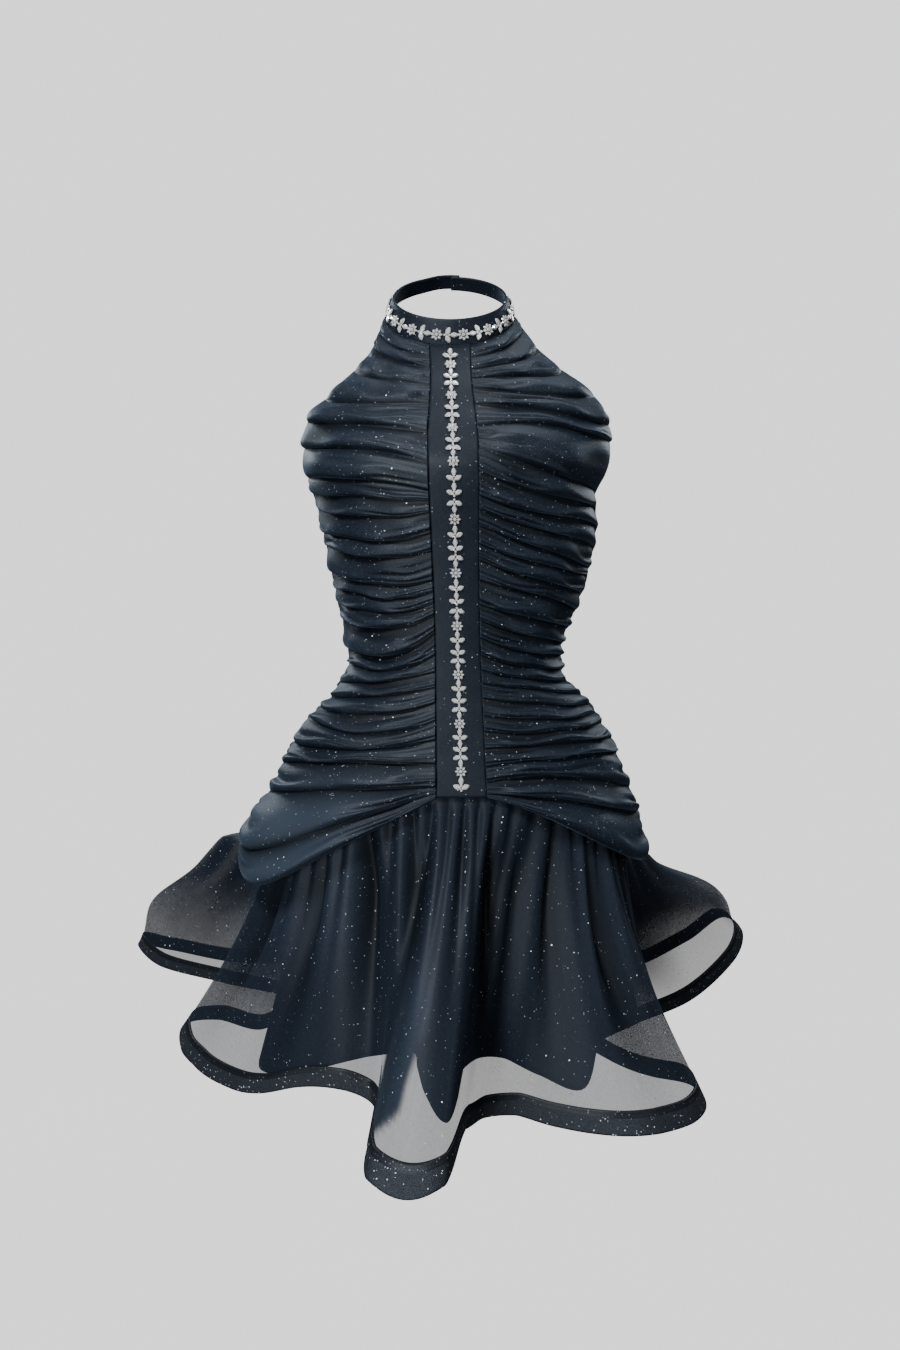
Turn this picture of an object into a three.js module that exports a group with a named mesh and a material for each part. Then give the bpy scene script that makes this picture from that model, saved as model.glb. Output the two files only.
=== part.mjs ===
import * as THREE from 'three';

// Halter mini dress, open and empty in its worn shape. Millimetres, +Z up.
// Front faces -Y. Origin: centre of the neckband ring, where it is held.

// Neckband
const BAND_RADIUS = 59;
const BAND_TILT = 41.5;
const BAND_HEIGHT_FRONT = 25;
const BAND_HEIGHT_BACK = 15;
const BAND_LEAN_FRONT = 35;
const BAND_LEAN_BACK = 5;
const BAND_WALL = 3;
const BAND_OVERLAP = 9;
const BUTTON_RADIUS = 5.5;

// Cloth walls and gaps
const WALL = 2;
const SKIRT_WALL = 1.2;
const SKIRT_COLUMNS = 120;
const LINING_WALL = 1;
const BRAID_WALL = 2.4;
const BRAID_WIDTH = 21;
const SEAM = 0.3;

// Levels
const NECK_LEVEL = -52;
const HIP_SEAM = -479;
const SKIRT_TOP = -467;
const SKIRT_LEAD = -482;
const HEM_DATUM = -368;

// Body sections, from the neckband down. At the front each section runs
// from the centre line out and up to the armhole edge or side seam.
// columns: height, front depth, side height, left half width,
// right half width, side offset, back depth
const SECTIONS = [
  [-52, 43.5, -14, 58, 58, -4, 60],
  [-82, 62, -53, 77, 88, -10, 74],
  [-102, 75.5, -73, 96, 114, -14, 80],
  [-120, 87, -93, 116, 139, -16, 84],
  [-138, 99, -113, 135, 151, -14, 86],
  [-150, 106, -126, 141, 156, -8, 88],
  [-178, 121, -153, 141, 152, -2, 90],
  [-193, 122, -173, 138, 144, 0, 90],
  [-208, 119, -193, 131, 141, 0, 90],
  [-223, 114.5, -213, 126, 142, 0, 90],
  [-257, 105, -253, 117, 137, 0, 88],
  [-293, 97, -293, 108, 125, 0, 84],
  [-333, 91, -333, 101, 109, 0, 81],
  [-353, 89, -353, 97, 108, 0, 80],
  [-373, 90, -373, 106, 112, 0, 82],
  [-393, 92, -393, 118, 132, 0, 88],
  [-413, 95, -413, 140, 146, 0, 96],
  [-433, 98, -433, 152, 160, 0, 104],
  [-453, 102, -453, 163, 164, 0, 110],
  [-473, 106, -473, 171, 174, 0, 115],
  [-493, 110, -493, 183, 180, 0, 119],
  [-523, 118, -523, 203, 188, 0, 126],
  [-553, 126, -553, 205, 193, 0, 133],
  [-583, 133, -583, 195, 190, 0, 140],
];
const COL = { height: 0, front: 1, sideHeight: 2, left: 3, right: 4, side: 5, back: 6 };

// Smooth centre front strip
const STRIP_ROWS = 26;
const STRIP_COLUMNS = 4;
// columns: height, half width
const STRIP = [
  [-52, 17], [-90, 18.5], [-150, 22.4], [-200, 22],
  [-300, 20.2], [-353, 20.2], [-480, 22.5], [-600, 22.5],
];

// Valleys between the gathered folds, each row one fold from its upper
// valley. columns: height at the centre seam, at a third, at two thirds,
// at the side, and how far the fold stands out
const FOLDS_LEFT = [
  [-52, -52, -52, -52, 2],
  [-78, -76, -74, -72, 4],
  [-100, -98, -98, -98, 5],
  [-120, -122, -124, -124, 5.5],
  [-150, -143, -143, -142, 6],
  [-180, -168, -167, -166, 6.5],
  [-204, -194, -192, -190, 4],
  [-212, -208, -205, -202, 4.5],
  [-222, -224, -218, -214, 5.5],
  [-240, -245, -237, -232, 5],
  [-256, -259, -250, -244, 6],
  [-282, -284, -274, -266, 5],
  [-292, -295, -286, -280, 5],
  [-302, -309, -301, -294, 5.5],
  [-314, -324, -318, -310, 7],
  [-330, -350, -345, -338, 5.5],
  [-350, -364, -360, -356, 4.5],
  [-366, -374, -376, -376, 5],
  [-380, -388, -391, -391, 5.5],
  [-394, -406, -404, -402, 5],
  [-410, -423, -415, -412, 7],
  [-428, -437, -437, -434, 7],
  [-450, -449, -452, -456, 8],
  [-470, -474, -480, -484, 8],
  [-474, -490, -508, -504, 8],
  [-477, -512, -536, -522, 7],
  [-479.5, -531, -566, -545, 0],
];
const FOLDS_RIGHT = [
  [-52, -52, -52, -52, 2],
  [-76, -72, -68, -66, 4.5],
  [-98, -110, -119, -121, 5.5],
  [-120, -130, -142, -144, 5],
  [-144, -144, -155, -160, 7],
  [-166, -187, -198, -206, 5],
  [-188, -206, -212, -222, 5],
  [-208, -222, -226, -236, 5],
  [-220, -236, -243, -251, 5],
  [-234, -252, -262, -265, 5],
  [-250, -265, -270, -274, 5],
  [-264, -279, -285, -290, 5],
  [-282, -292, -299, -305, 6],
  [-304, -314, -318, -322, 5.5],
  [-318, -330, -334, -338, 5],
  [-334, -346, -348, -350, 5],
  [-350, -360, -362, -364, 4.5],
  [-364, -372, -375, -378, 4.5],
  [-376, -383, -388, -390, 4.5],
  [-390, -396, -398, -399, 4.5],
  [-406, -410, -408, -407, 5],
  [-420, -421, -417, -418, 5.5],
  [-436, -431, -430, -431, 7],
  [-452, -444, -442, -445, 7],
  [-466, -462, -472, -480, 8],
  [-476, -484, -497, -504, 8],
  [-479.5, -510, -542, -536, 0],
];
// Back panel, from the left side seam round to the right one.
// columns: height at left seam, left third, right third, right seam, fold
const FOLDS_BACK = [
  [-128, -240, -240, -128, 2.5],
  [-150, -252, -250, -148, 3],
  [-178, -264, -262, -176, 3.5],
  [-208, -279, -280, -210, 3.5],
  [-240, -296, -295, -238, 4],
  [-270, -314, -316, -272, 4],
  [-300, -334, -332, -299, 4],
  [-330, -353, -351, -332, 4],
  [-358, -372, -374, -357, 4],
  [-388, -396, -395, -390, 5],
  [-419, -424, -425, -417, 5],
  [-450, -453, -452, -451, 5],
  [-484, -468, -468, -482, 6],
  [-526, -481, -481, -524, 0],
];

// Hem turns, anticlockwise seen from below from the back left.
// columns: angle from the front, hem radius, hem height below the datum,
// lining radius, lining height
const HEM = [
  [-172, 196, -352, 172, -325], // back centre trough
  [-163, 300, -362, 200, -330],
  [-156, 344, -356, 208, -332], // back left lobe
  [-149, 318, -350, 196, -330],
  [-142, 200, -338, 172, -325],
  [-134, 214, -330, 170, -322],
  [-127.5, 330, -338, 186, -326], // left wing, far edge
  [-123.5, 410, -330, 196, -328],
  [-121, 438, -324, 200, -328], // left wing, tip
  [-119.6, 392, -342, 192, -328],
  [-118.6, 290, -346, 180, -326],
  [-116.8, 188, -350, 166, -330],
  [-115, 226, -384, 176, -345],
  [-113.2, 276, -378, 184, -355],
  [-109.5, 305, -380, 188, -362], // left lobe, tip
  [-102.5, 292, -393, 190, -372],
  [-94, 262, -397, 191, -380],
  [-84, 224, -401, 188, -386],
  [-74, 195, -398, 172, -382], // left lobe, near edge
  [-60, 160, -382, 140, -368],
  [-47, 139, -379, 121, -356],
  [-36, 122, -390, 108, -350], // front left trough
  [-25, 150, -389, 103, -346],
  [-18.2, 216, -386, 104, -345],
  [-14.2, 262, -388, 120, -350],
  [-7, 279, -393, 160, -362], // front lobe, crest
  [-1, 264, -389, 190, -371],
  [2.2, 200, -384, 158, -365],
  [5.5, 136, -399, 112, -356],
  [16, 110, -401, 95, -352], // front right trough
  [31, 118, -400, 99, -354],
  [41, 152, -406, 128, -366],
  [49, 197, -407, 160, -375], // right lobe, near edge
  [57, 226, -408, 166, -340],
  [67, 243, -409, 178, -330],
  [79, 250, -409, 186, -330], // right lobe, tip
  [90, 243, -410, 186, -332],
  [103, 212, -417, 168, -336],
  [112, 184, -408, 152, -336],
  [118, 176, -396, 142, -334],
  [121.8, 250, -388, 152, -332],
  [123.2, 340, -378, 166, -330],
  [124.3, 418, -345, 186, -330],
  [125.8, 446, -318, 202, -328], // right wing, tip
  [128.2, 432, -300, 200, -328],
  [131, 392, -326, 192, -326],
  [135, 320, -350, 182, -326],
  [141, 205, -352, 170, -325],
  [149, 214, -350, 172, -325],
  [157, 316, -356, 196, -330],
  [164, 350, -358, 208, -332], // back right lobe
  [172, 296, -364, 198, -330],
];

// Where the front drape hangs over the skirt. columns: angle, lowest height
const DRAPE_EDGE = [
  [-180, -483], [-146, -484], [-128, -512], [-112, -524], [-99, -542], [-95, -554],
  [-80, -574], [-52, -568], [-26, -520], [-11, -484], [11, -484], [26, -500],
  [52, -536], [75, -552], [95, -550], [99, -542], [112, -524], [128, -512],
  [146, -484], [180, -483],
];

// Valleys of the gathered skirt. columns: angle at the hip seam, half
// width in degrees, depth, share of the way down where it is deepest
const SKIRT_FOLDS = [
  [-171, 7, 11, 0.4], [-153, 6, 9, 0.3], [-136, 7, 12, 0.35], [-118, 6, 9, 0.35],
  [-100, 6, 8, 0.5], [-81, 6, 9, 0.5], [-62, 6, 11, 0.45], [-45, 5, 9, 0.45],
  [-28, 5, 11, 0.35], [-11, 4.5, 12, 0.3], [2, 4, 6, 0.2], [13, 5.5, 17, 0.35],
  [22, 4, 9, 0.3], [34, 5, 10, 0.35], [48, 5, 13, 0.45], [64, 6, 9, 0.45],
  [82, 6, 9, 0.5], [99, 6, 8, 0.5], [117, 6, 10, 0.35], [134, 7, 11, 0.35],
  [152, 6, 9, 0.3], [169, 7, 12, 0.4],
];

// Trim motifs down the centre front: heights of the flowers
const FLOWERS = [-76, -111, -146, -179, -228, -275, -323, -368, -413, -456];
const NECK_MOTIFS = 17;

const radians = (deg) => deg * Math.PI / 180;
const lerp = (a, b, t) => a + (b - a) * t;
const clamp = (v, lo, hi) => Math.max(lo, Math.min(hi, v));
const smooth = (a, b, v) => {
  const t = clamp((v - a) / (b - a), 0, 1);
  return t * t * (3 - 2 * t);
};
const add = (a, b) => [a[0] + b[0], a[1] + b[1], a[2] + b[2]];
const minus = (a, b) => [a[0] - b[0], a[1] - b[1], a[2] - b[2]];
const times = (a, k) => [a[0] * k, a[1] * k, a[2] * k];
const cross = (a, b) => [
  a[1] * b[2] - a[2] * b[1],
  a[2] * b[0] - a[0] * b[2],
  a[0] * b[1] - a[1] * b[0],
];
const unit = (a) => times(a, 1 / (Math.hypot(...a) || 1));

// Smooth value of one column of a table at x, with x rising down the table.
function along(table, keyOf, column, x) {
  const last = table.length - 1;
  let i = 0;
  while (i < last - 1 && keyOf(table[i + 1]) < x) i++;
  const at = (j) => [keyOf(table[j]), table[j][column]];
  const rise = (j) => {
    const [xa, ya] = at(Math.max(j - 1, 0));
    const [xm, ym] = at(j);
    const [xb, yb] = at(Math.min(j + 1, last));
    if (j <= 0 || j >= last) return (yb - ya) / (xb - xa);
    return ((ym - ya) / (xm - xa) + (yb - ym) / (xb - xm)) / 2;
  };
  const [x0, y0] = at(i);
  const [x1, y1] = at(i + 1);
  const h = x1 - x0;
  const u = (x - x0) / h;
  const u2 = u * u;
  const u3 = u2 * u;
  return (2 * u3 - 3 * u2 + 1) * y0 + (u3 - 2 * u2 + u) * h * rise(i)
    + (3 * u2 - 2 * u3) * y1 + (u3 - u2) * h * rise(i + 1);
}

function straight(table, x, key = 0, column = 1) {
  let i = 0;
  while (i < table.length - 2 && table[i + 1][key] < x) i++;
  const [a, b] = [table[i], table[i + 1]];
  return lerp(a[column], b[column], clamp((x - a[key]) / (b[key] - a[key]), 0, 1));
}

const section = (height, column) => along(SECTIONS, (row) => -row[COL.height], column, -height);
const sideSection = (z, column) => along(SECTIONS, (row) => -row[COL.sideHeight], column, -z);
const centreLine = (height) => 10.5 * (-height + NECK_LEVEL) / 430;
const stripHalf = (height) => straight(STRIP.map(([h, w]) => [-h, w]), -height);

// Neckband ring: middle line, and the way from its lower to its upper edge.
function bandFrame(angle) {
  const tilt = radians(BAND_TILT);
  const a = radians(angle);
  const front = (1 + Math.cos(a)) / 2;
  const out = [Math.sin(a), -Math.cos(a) * Math.cos(tilt), -Math.cos(a) * Math.sin(tilt)];
  const up = [0, -Math.sin(tilt), Math.cos(tilt)];
  const lean = radians(lerp(BAND_LEAN_BACK, BAND_LEAN_FRONT, front));
  const rise = add(times(up, Math.cos(lean)), times(out, -Math.sin(lean)));
  const face = add(times(out, Math.cos(lean)), times(up, Math.sin(lean)));
  const height = lerp(BAND_HEIGHT_BACK, BAND_HEIGHT_FRONT, front);
  return { middle: times(out, BAND_RADIUS), rise, face, height };
}

function bandLowerEdge(angle) {
  const f = bandFrame(angle);
  return add(f.middle, times(f.rise, -(f.height / 2 + 2 * SEAM)));
}

// Inner face of the front cloth: side -1 left or +1 right, turn in degrees
// from the centre front to the side, height on the centre line.
function frontBase(side, turn, height) {
  const t = radians(turn);
  const half = section(height, side < 0 ? COL.left : COL.right);
  const mid = centreLine(height);
  const y = section(height, COL.side);
  const rise = section(height, COL.sideHeight) - height;
  const p = [
    mid + (side * half - mid) * Math.sin(t),
    y - (section(height, COL.front) + y) * Math.cos(t),
    height + rise * (1 - Math.cos(t)),
  ];
  const fade = clamp((height + 104) / 52, 0, 1);
  if (fade <= 0) return p;
  const neck = bandLowerEdge(side * turn);
  const start = [
    side * section(NECK_LEVEL, COL.left) * Math.sin(t),
    section(NECK_LEVEL, COL.side)
      - (section(NECK_LEVEL, COL.front) + section(NECK_LEVEL, COL.side)) * Math.cos(t),
    NECK_LEVEL + (section(NECK_LEVEL, COL.sideHeight) - NECK_LEVEL) * (1 - Math.cos(t)),
  ];
  return add(p, times(minus(neck, start), fade));
}

// Turn at which the smooth strip ends and the gathered cloth begins.
function seamTurn(side, height, extra) {
  const half = section(height, side < 0 ? COL.left : COL.right);
  const reach = Math.abs(side * half - centreLine(height));
  return Math.asin((stripHalf(height) + extra) / reach) * 180 / Math.PI;
}

// Inner face of the back cloth: turn from -90 (left seam) by 180 to 270.
function backBase(turn, z) {
  const t = radians(turn);
  const side = Math.sin(t) < 0 ? -1 : 1;
  const half = sideSection(z, side < 0 ? COL.left : COL.right);
  const mid = centreLine(z);
  const y = sideSection(z, COL.side);
  return [
    mid + (side * half - mid) * Math.abs(Math.sin(t)),
    y - (sideSection(z, COL.back) - y) * Math.cos(t),
    z,
  ];
}

// Whole round of the body at one height, angle from the front.
function roundBase(angle, z) {
  if (Math.abs(angle) <= 90) return frontBase(angle < 0 ? -1 : 1, Math.abs(angle), z);
  return backBase(angle, z);
}

function normalOf(base, a, b, da, db) {
  const u = minus(base(a + da, b), base(a - da, b));
  const v = minus(base(a, b + db), base(a, b - db));
  return unit(cross(u, v));
}

// Closed cloth wall from two grids of points over the same patch. The
// outer grid may be finer than the inner one.
function wallBetween(outer, inner) {
  const points = [];
  const faces = [];
  const put = (grid) => grid.map((row) => row.map((p) => points.push(p) - 1));
  const skin = (ids, flip) => {
    for (let i = 0; i + 1 < ids.length; i++) {
      for (let j = 0; j + 1 < ids[0].length; j++) {
        const [a, b, c, d] = [ids[i][j], ids[i][j + 1], ids[i + 1][j + 1], ids[i + 1][j]];
        const tris = [[a, b, c], [a, c, d]];
        for (const t of tris) faces.push(flip ? [t[0], t[2], t[1]] : t);
      }
    }
  };
  const o = put(outer);
  const n = put(inner);
  skin(o, false);
  skin(n, true);
  const edge = (from, to) => {
    let i = 0;
    let j = 0;
    const a = from.length - 1;
    const b = to.length - 1;
    while (i < a || j < b) {
      const next = i < a && (j >= b || (i + 1) / a <= (j + 1) / b);
      if (next) faces.push([from[i + 1], from[i], to[j]]);
      else faces.push([from[i], to[j], to[j + 1]]);
      i += next ? 1 : 0;
      j += next ? 0 : 1;
    }
  };
  const colOf = (ids, k) => ids.map((row) => row[k]);
  const w = o[0].length - 1;
  const m = n[0].length - 1;
  edge(o[0], n[0]);
  edge(colOf(o, w), colOf(n, m));
  edge([...o[o.length - 1]].reverse(), [...n[n.length - 1]].reverse());
  edge(colOf(o, 0).reverse(), colOf(n, 0).reverse());
  return solid(points, faces);
}

// Closed tube wall: rings of points outside and inside, joined at both ends.
function ringWall(outer, inner) {
  const points = [];
  const faces = [];
  const put = (grid) => grid.map((row) => row.map((p) => points.push(p) - 1));
  const loop = [...put(outer), ...put([...inner].reverse())];
  const rows = loop.length;
  for (let i = 0; i < rows; i++) {
    const a = loop[i];
    const b = loop[(i + 1) % rows];
    const inside = i >= outer.length;
    for (let j = 0; j < a.length; j++) {
      const k = (j + 1) % a.length;
      if (inside) faces.push([a[j], a[k], b[j]], [a[k], b[k], b[j]]);
      else faces.push([a[j], a[k], b[k]], [a[j], b[k], b[j]]);
    }
  }
  return solid(points, faces);
}

function solid(points, faces) {
  const geometry = new THREE.BufferGeometry();
  geometry.setAttribute('position', new THREE.Float32BufferAttribute(points.flat(), 3));
  geometry.setIndex(faces.flat());
  let volume = 0;
  for (const [a, b, c] of faces) {
    const n = cross(points[b], points[c]);
    volume += (points[a][0] * n[0] + points[a][1] * n[1] + points[a][2] * n[2]) / 6;
  }
  if (volume < 0) geometry.setIndex(faces.flatMap(([a, b, c]) => [a, c, b]));
  geometry.computeVertexNormals();
  return geometry;
}

// Height of a valley line across the panel, and the fold cut between two.
function valleyAt(row, u) {
  const [a, b, c, d] = row;
  const w = [
    -4.5 * (u - 1 / 3) * (u - 2 / 3) * (u - 1),
    13.5 * u * (u - 2 / 3) * (u - 1),
    -13.5 * u * (u - 1 / 3) * (u - 1),
    4.5 * u * (u - 1 / 3) * (u - 2 / 3),
  ];
  return a * w[0] + b * w[1] + c * w[2] + d * w[3];
}

function foldedWall(base, rows, columns, steps, innerRows, innerColumns, ease) {
  const outer = [];
  const last = rows.length - 1;
  for (let k = 0; k < last; k++) {
    const wide = Math.abs(valleyAt(rows[k], 0.6) - valleyAt(rows[k + 1], 0.6));
    const parts = wide > 22 ? steps + 1 : steps;
    for (let i = 0; i < parts; i++) {
      const t = i / parts;
      const line = [];
      for (let j = 0; j <= columns; j++) {
        const u = j / columns;
        const top = valleyAt(rows[k], u);
        const bottom = valleyAt(rows[k + 1], u);
        const stand = Math.min(rows[k][4], Math.abs(top - bottom) * 0.45) * ease(u);
        const h = i === 0 ? 0 : stand * Math.pow(Math.sin(Math.PI * t), 0.7);
        line.push(base(u, lerp(top, bottom, t), WALL + h));
      }
      outer.push(line);
    }
  }
  const hem = [];
  for (let j = 0; j <= columns; j++) hem.push(base(j / columns, valleyAt(rows[last], j / columns), WALL));
  outer.push(hem);
  const inner = [];
  for (let i = 0; i <= innerRows; i++) {
    const line = [];
    for (let j = 0; j <= innerColumns; j++) {
      const u = j / innerColumns;
      line.push(base(u, lerp(valleyAt(rows[0], u), valleyAt(rows[last], u), i / innerRows), 0));
    }
    inner.push(line);
  }
  return wallBetween(outer, inner);
}

const frontPoint = (side) => (u, height, out) => {
  const start = seamTurn(side, height, 2 * SEAM);
  const turn = (v) => start + v * (90 - 0.2 - start);
  const at = (v, h) => frontBase(side, turn(v), h);
  const n = normalOf(at, u, height, 0.01, 1);
  return add(at(u, height), times(n, (side < 0 ? 1 : -1) * -out));
};

function gatheredFront(side) {
  const ease = (u) => lerp(0.45, 1, smooth(0, 0.16, u)) * lerp(1, 0.7, smooth(0.85, 1, u));
  return foldedWall(frontPoint(side), side < 0 ? FOLDS_LEFT : FOLDS_RIGHT, 11, 3, 14, 8, ease);
}

function backPanel() {
  const point = (u, height, out) => {
    const turn = (v) => -90.3 - v * 179.4;
    const at = (v, h) => backBase(turn(v), h);
    return add(at(u, height), times(normalOf(at, u, height, 0.005, 1), -out));
  };
  const ease = (u) => lerp(1, 0.55, smooth(0.1, 0.45, Math.min(u, 1 - u)));
  return foldedWall(point, FOLDS_BACK, 20, 3, 12, 20, ease);
}

// Smooth strip down the centre front.
const stripPoint = (v, height, out) => {
  const at = (w, h) => {
    const side = w < 0 ? -1 : 1;
    return frontBase(side, Math.abs(w) * seamTurn(side, h, 0), h);
  };
  return add(at(v, height), times(normalOf(at, v, height, 0.02, 1), out));
};

function stripGrid(out) {
  const lines = [];
  for (let i = 0; i <= STRIP_ROWS; i++) {
    const height = lerp(NECK_LEVEL - 0.2, HIP_SEAM, i / STRIP_ROWS);
    const line = [];
    for (let j = 0; j <= STRIP_COLUMNS; j++) {
      line.push(stripPoint(j / STRIP_COLUMNS * 2 - 1, height, out));
    }
    lines.push(line);
  }
  return lines;
}

function centreFront() {
  return wallBetween(stripGrid(WALL), stripGrid(0));
}

// A place on the strip, taken from its own flat facets and moved out.
function onStrip(x, height, out) {
  const grid = stripGrid(WALL + SEAM + 0.1 + out);
  const row = clamp((NECK_LEVEL - 0.2 - height) / (NECK_LEVEL - 0.2 - HIP_SEAM), 0, 1) * STRIP_ROWS;
  const column = (clamp(x / stripHalf(height), -1, 1) + 1) / 2 * STRIP_COLUMNS;
  const i = Math.min(Math.floor(row), STRIP_ROWS - 1);
  const j = Math.min(Math.floor(column), STRIP_COLUMNS - 1);
  const mix = (a, b, t) => a.map((v, k) => lerp(v, b[k], t));
  const upper = mix(grid[i][j], grid[i][j + 1], column - j);
  const lower = mix(grid[i + 1][j], grid[i + 1][j + 1], column - j);
  return mix(upper, lower, row - i);
}

function neckband() {
  const count = 46;
  const points = [];
  const faces = [];
  const half = BAND_WALL / 2;
  for (let i = 0; i <= count; i++) {
    const angle = lerp(-180 - BAND_OVERLAP, 180 - 1, i / count);
    const lift = (BAND_WALL + SEAM + 0.3) * (1 - smooth(-176, -150, angle));
    const f = bandFrame(angle);
    const h = f.height / 2;
    const shape = [
      [h - 1, half], [h, 0], [h - 1, -half], [-h + 1, -half], [-h, 0], [-h + 1, half],
    ];
    for (const [along2, out] of shape) {
      points.push(add(f.middle, add(times(f.rise, along2), times(f.face, out + lift))));
    }
  }
  const n = 6;
  for (let i = 0; i < count; i++) {
    for (let j = 0; j < n; j++) {
      const a = i * n + j;
      const b = i * n + (j + 1) % n;
      faces.push([a, b, b + n], [a, b + n, a + n]);
    }
  }
  for (let j = 1; j < n - 1; j++) {
    faces.push([0, j + 1, j]);
    const e = count * n;
    faces.push([e, e + j, e + j + 1]);
  }
  return solid(points, faces);
}

function neckButton() {
  const f = bandFrame(180);
  const points = [];
  const rings = [[BUTTON_RADIUS, 0], [BUTTON_RADIUS, 1], [4.4, 2.4], [2.4, 3.2]];
  const n = 14;
  const floor = BAND_WALL / 2 + BAND_WALL + SEAM + 0.3 + SEAM;
  const side = unit(cross(f.face, f.rise));
  const place = (x, y, z) => {
    const across = add(times(side, x), times(f.rise, y));
    return add(f.middle, add(across, times(f.face, floor + z)));
  };
  for (const [r, z] of rings) {
    for (let j = 0; j < n; j++) {
      const a = j / n * Math.PI * 2;
      points.push(place(r * Math.cos(a), r * Math.sin(a), z));
    }
  }
  const bottom = points.push(place(0, 0, 0)) - 1;
  const top = points.push(place(0, 0, 3.5)) - 1;
  const faces = [];
  for (let i = 0; i + 1 < rings.length; i++) {
    for (let j = 0; j < n; j++) {
      const k = (j + 1) % n;
      faces.push([i * n + j, i * n + k, (i + 1) * n + k], [i * n + j, (i + 1) * n + k, (i + 1) * n + j]);
    }
  }
  for (let j = 0; j < n; j++) {
    const k = (j + 1) % n;
    faces.push([bottom, k, j], [top, (rings.length - 1) * n + j, (rings.length - 1) * n + k]);
  }
  return solid(points, faces);
}

// Stone motifs of the trim, as seen from the front. columns: distance
// above the motif's middle, half width, height of the ridge
const LEAF = [
  [8.2, 1.1, 1.1], [5.2, 2.5, 2.2], [1.4, 2.4, 1.7], [-1.6, 7.4, 2.1], [-4.4, 1.5, 1.2],
];
const FLOWER = [
  [5.5, 1.5, 1.2], [3.5, 4.6, 2.1], [0, 5.5, 2.6], [-3.5, 4.6, 2.1], [-5.5, 1.5, 1.2],
];
const turned = (motif) => motif.map(([y, w, h]) => [-y, w, h]).reverse();

// One closed trim strip through its stations: [place along, half width,
// ridge height], laid on a surface by place(across, along, out).
function stoneStrip(stations, place) {
  const points = [];
  const faces = [];
  for (const [s, w, h] of stations) {
    const shape = [[-w, 0], [-w * 0.82, h * 0.6], [0, h], [w * 0.82, h * 0.6], [w, 0]];
    for (const [x, out] of shape) points.push(place(x, s, out));
  }
  const n = 5;
  const last = (stations.length - 1) * n;
  for (let i = 0; i < last; i += n) {
    for (let j = 0; j < n; j++) {
      const a = i + j;
      const b = i + (j + 1) % n;
      faces.push([a, b, b + n], [a, b + n, a + n]);
    }
  }
  for (let j = 1; j < n - 1; j++) faces.push([0, j + 1, j], [last, last + j, last + j + 1]);
  return solid(points, faces);
}

function centreTrim() {
  const stations = [];
  const put = (motif, at) => {
    const slope = lerp(0.82, 1, smooth(-165, -190, at));
    for (const [y, w, h] of motif) stations.push([at + y * slope, w, h]);
  };
  FLOWERS.forEach((z, i) => {
    const gap = i === 0 ? 36 : FLOWERS[i - 1] - z;
    if (i > 0) put(LEAF, z + gap * 0.66);
    put(turned(LEAF), z + gap * 0.34);
    put(FLOWER, z);
  });
  put(LEAF, -469);
  const kept = stations.filter(([s], i) => i === 0 || s < stations[i - 1][0] - 0.2);
  return stoneStrip(kept, (x, s, out) => onStrip(x, s, out));
}

function neckTrim() {
  const reach = 132;
  const line = (angle) => lerp(-0.5, -3, (1 + Math.cos(radians(angle))) / 2);
  const turn = 180 / Math.PI / BAND_RADIUS;
  const place = (x, angle, out) => {
    const f = bandFrame(angle);
    const up = add(f.middle, times(f.rise, line(angle) - x));
    return add(up, times(f.face, BAND_WALL / 2 + SEAM + out));
  };
  const stations = [];
  for (let i = 0; i < NECK_MOTIFS; i++) {
    const angle = lerp(-reach, reach, i / (NECK_MOTIFS - 1));
    const motif = i % 2 ? LEAF : FLOWER;
    const shown = i < NECK_MOTIFS / 2 ? turned(motif) : motif;
    for (const [y, w, h] of [...shown].reverse()) stations.push([angle + y * turn, w, h]);
  }
  const kept = stations.filter(([s], i) => i === 0 || s > stations[i - 1][0] + 0.2);
  return stoneStrip(kept, place);
}

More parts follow.
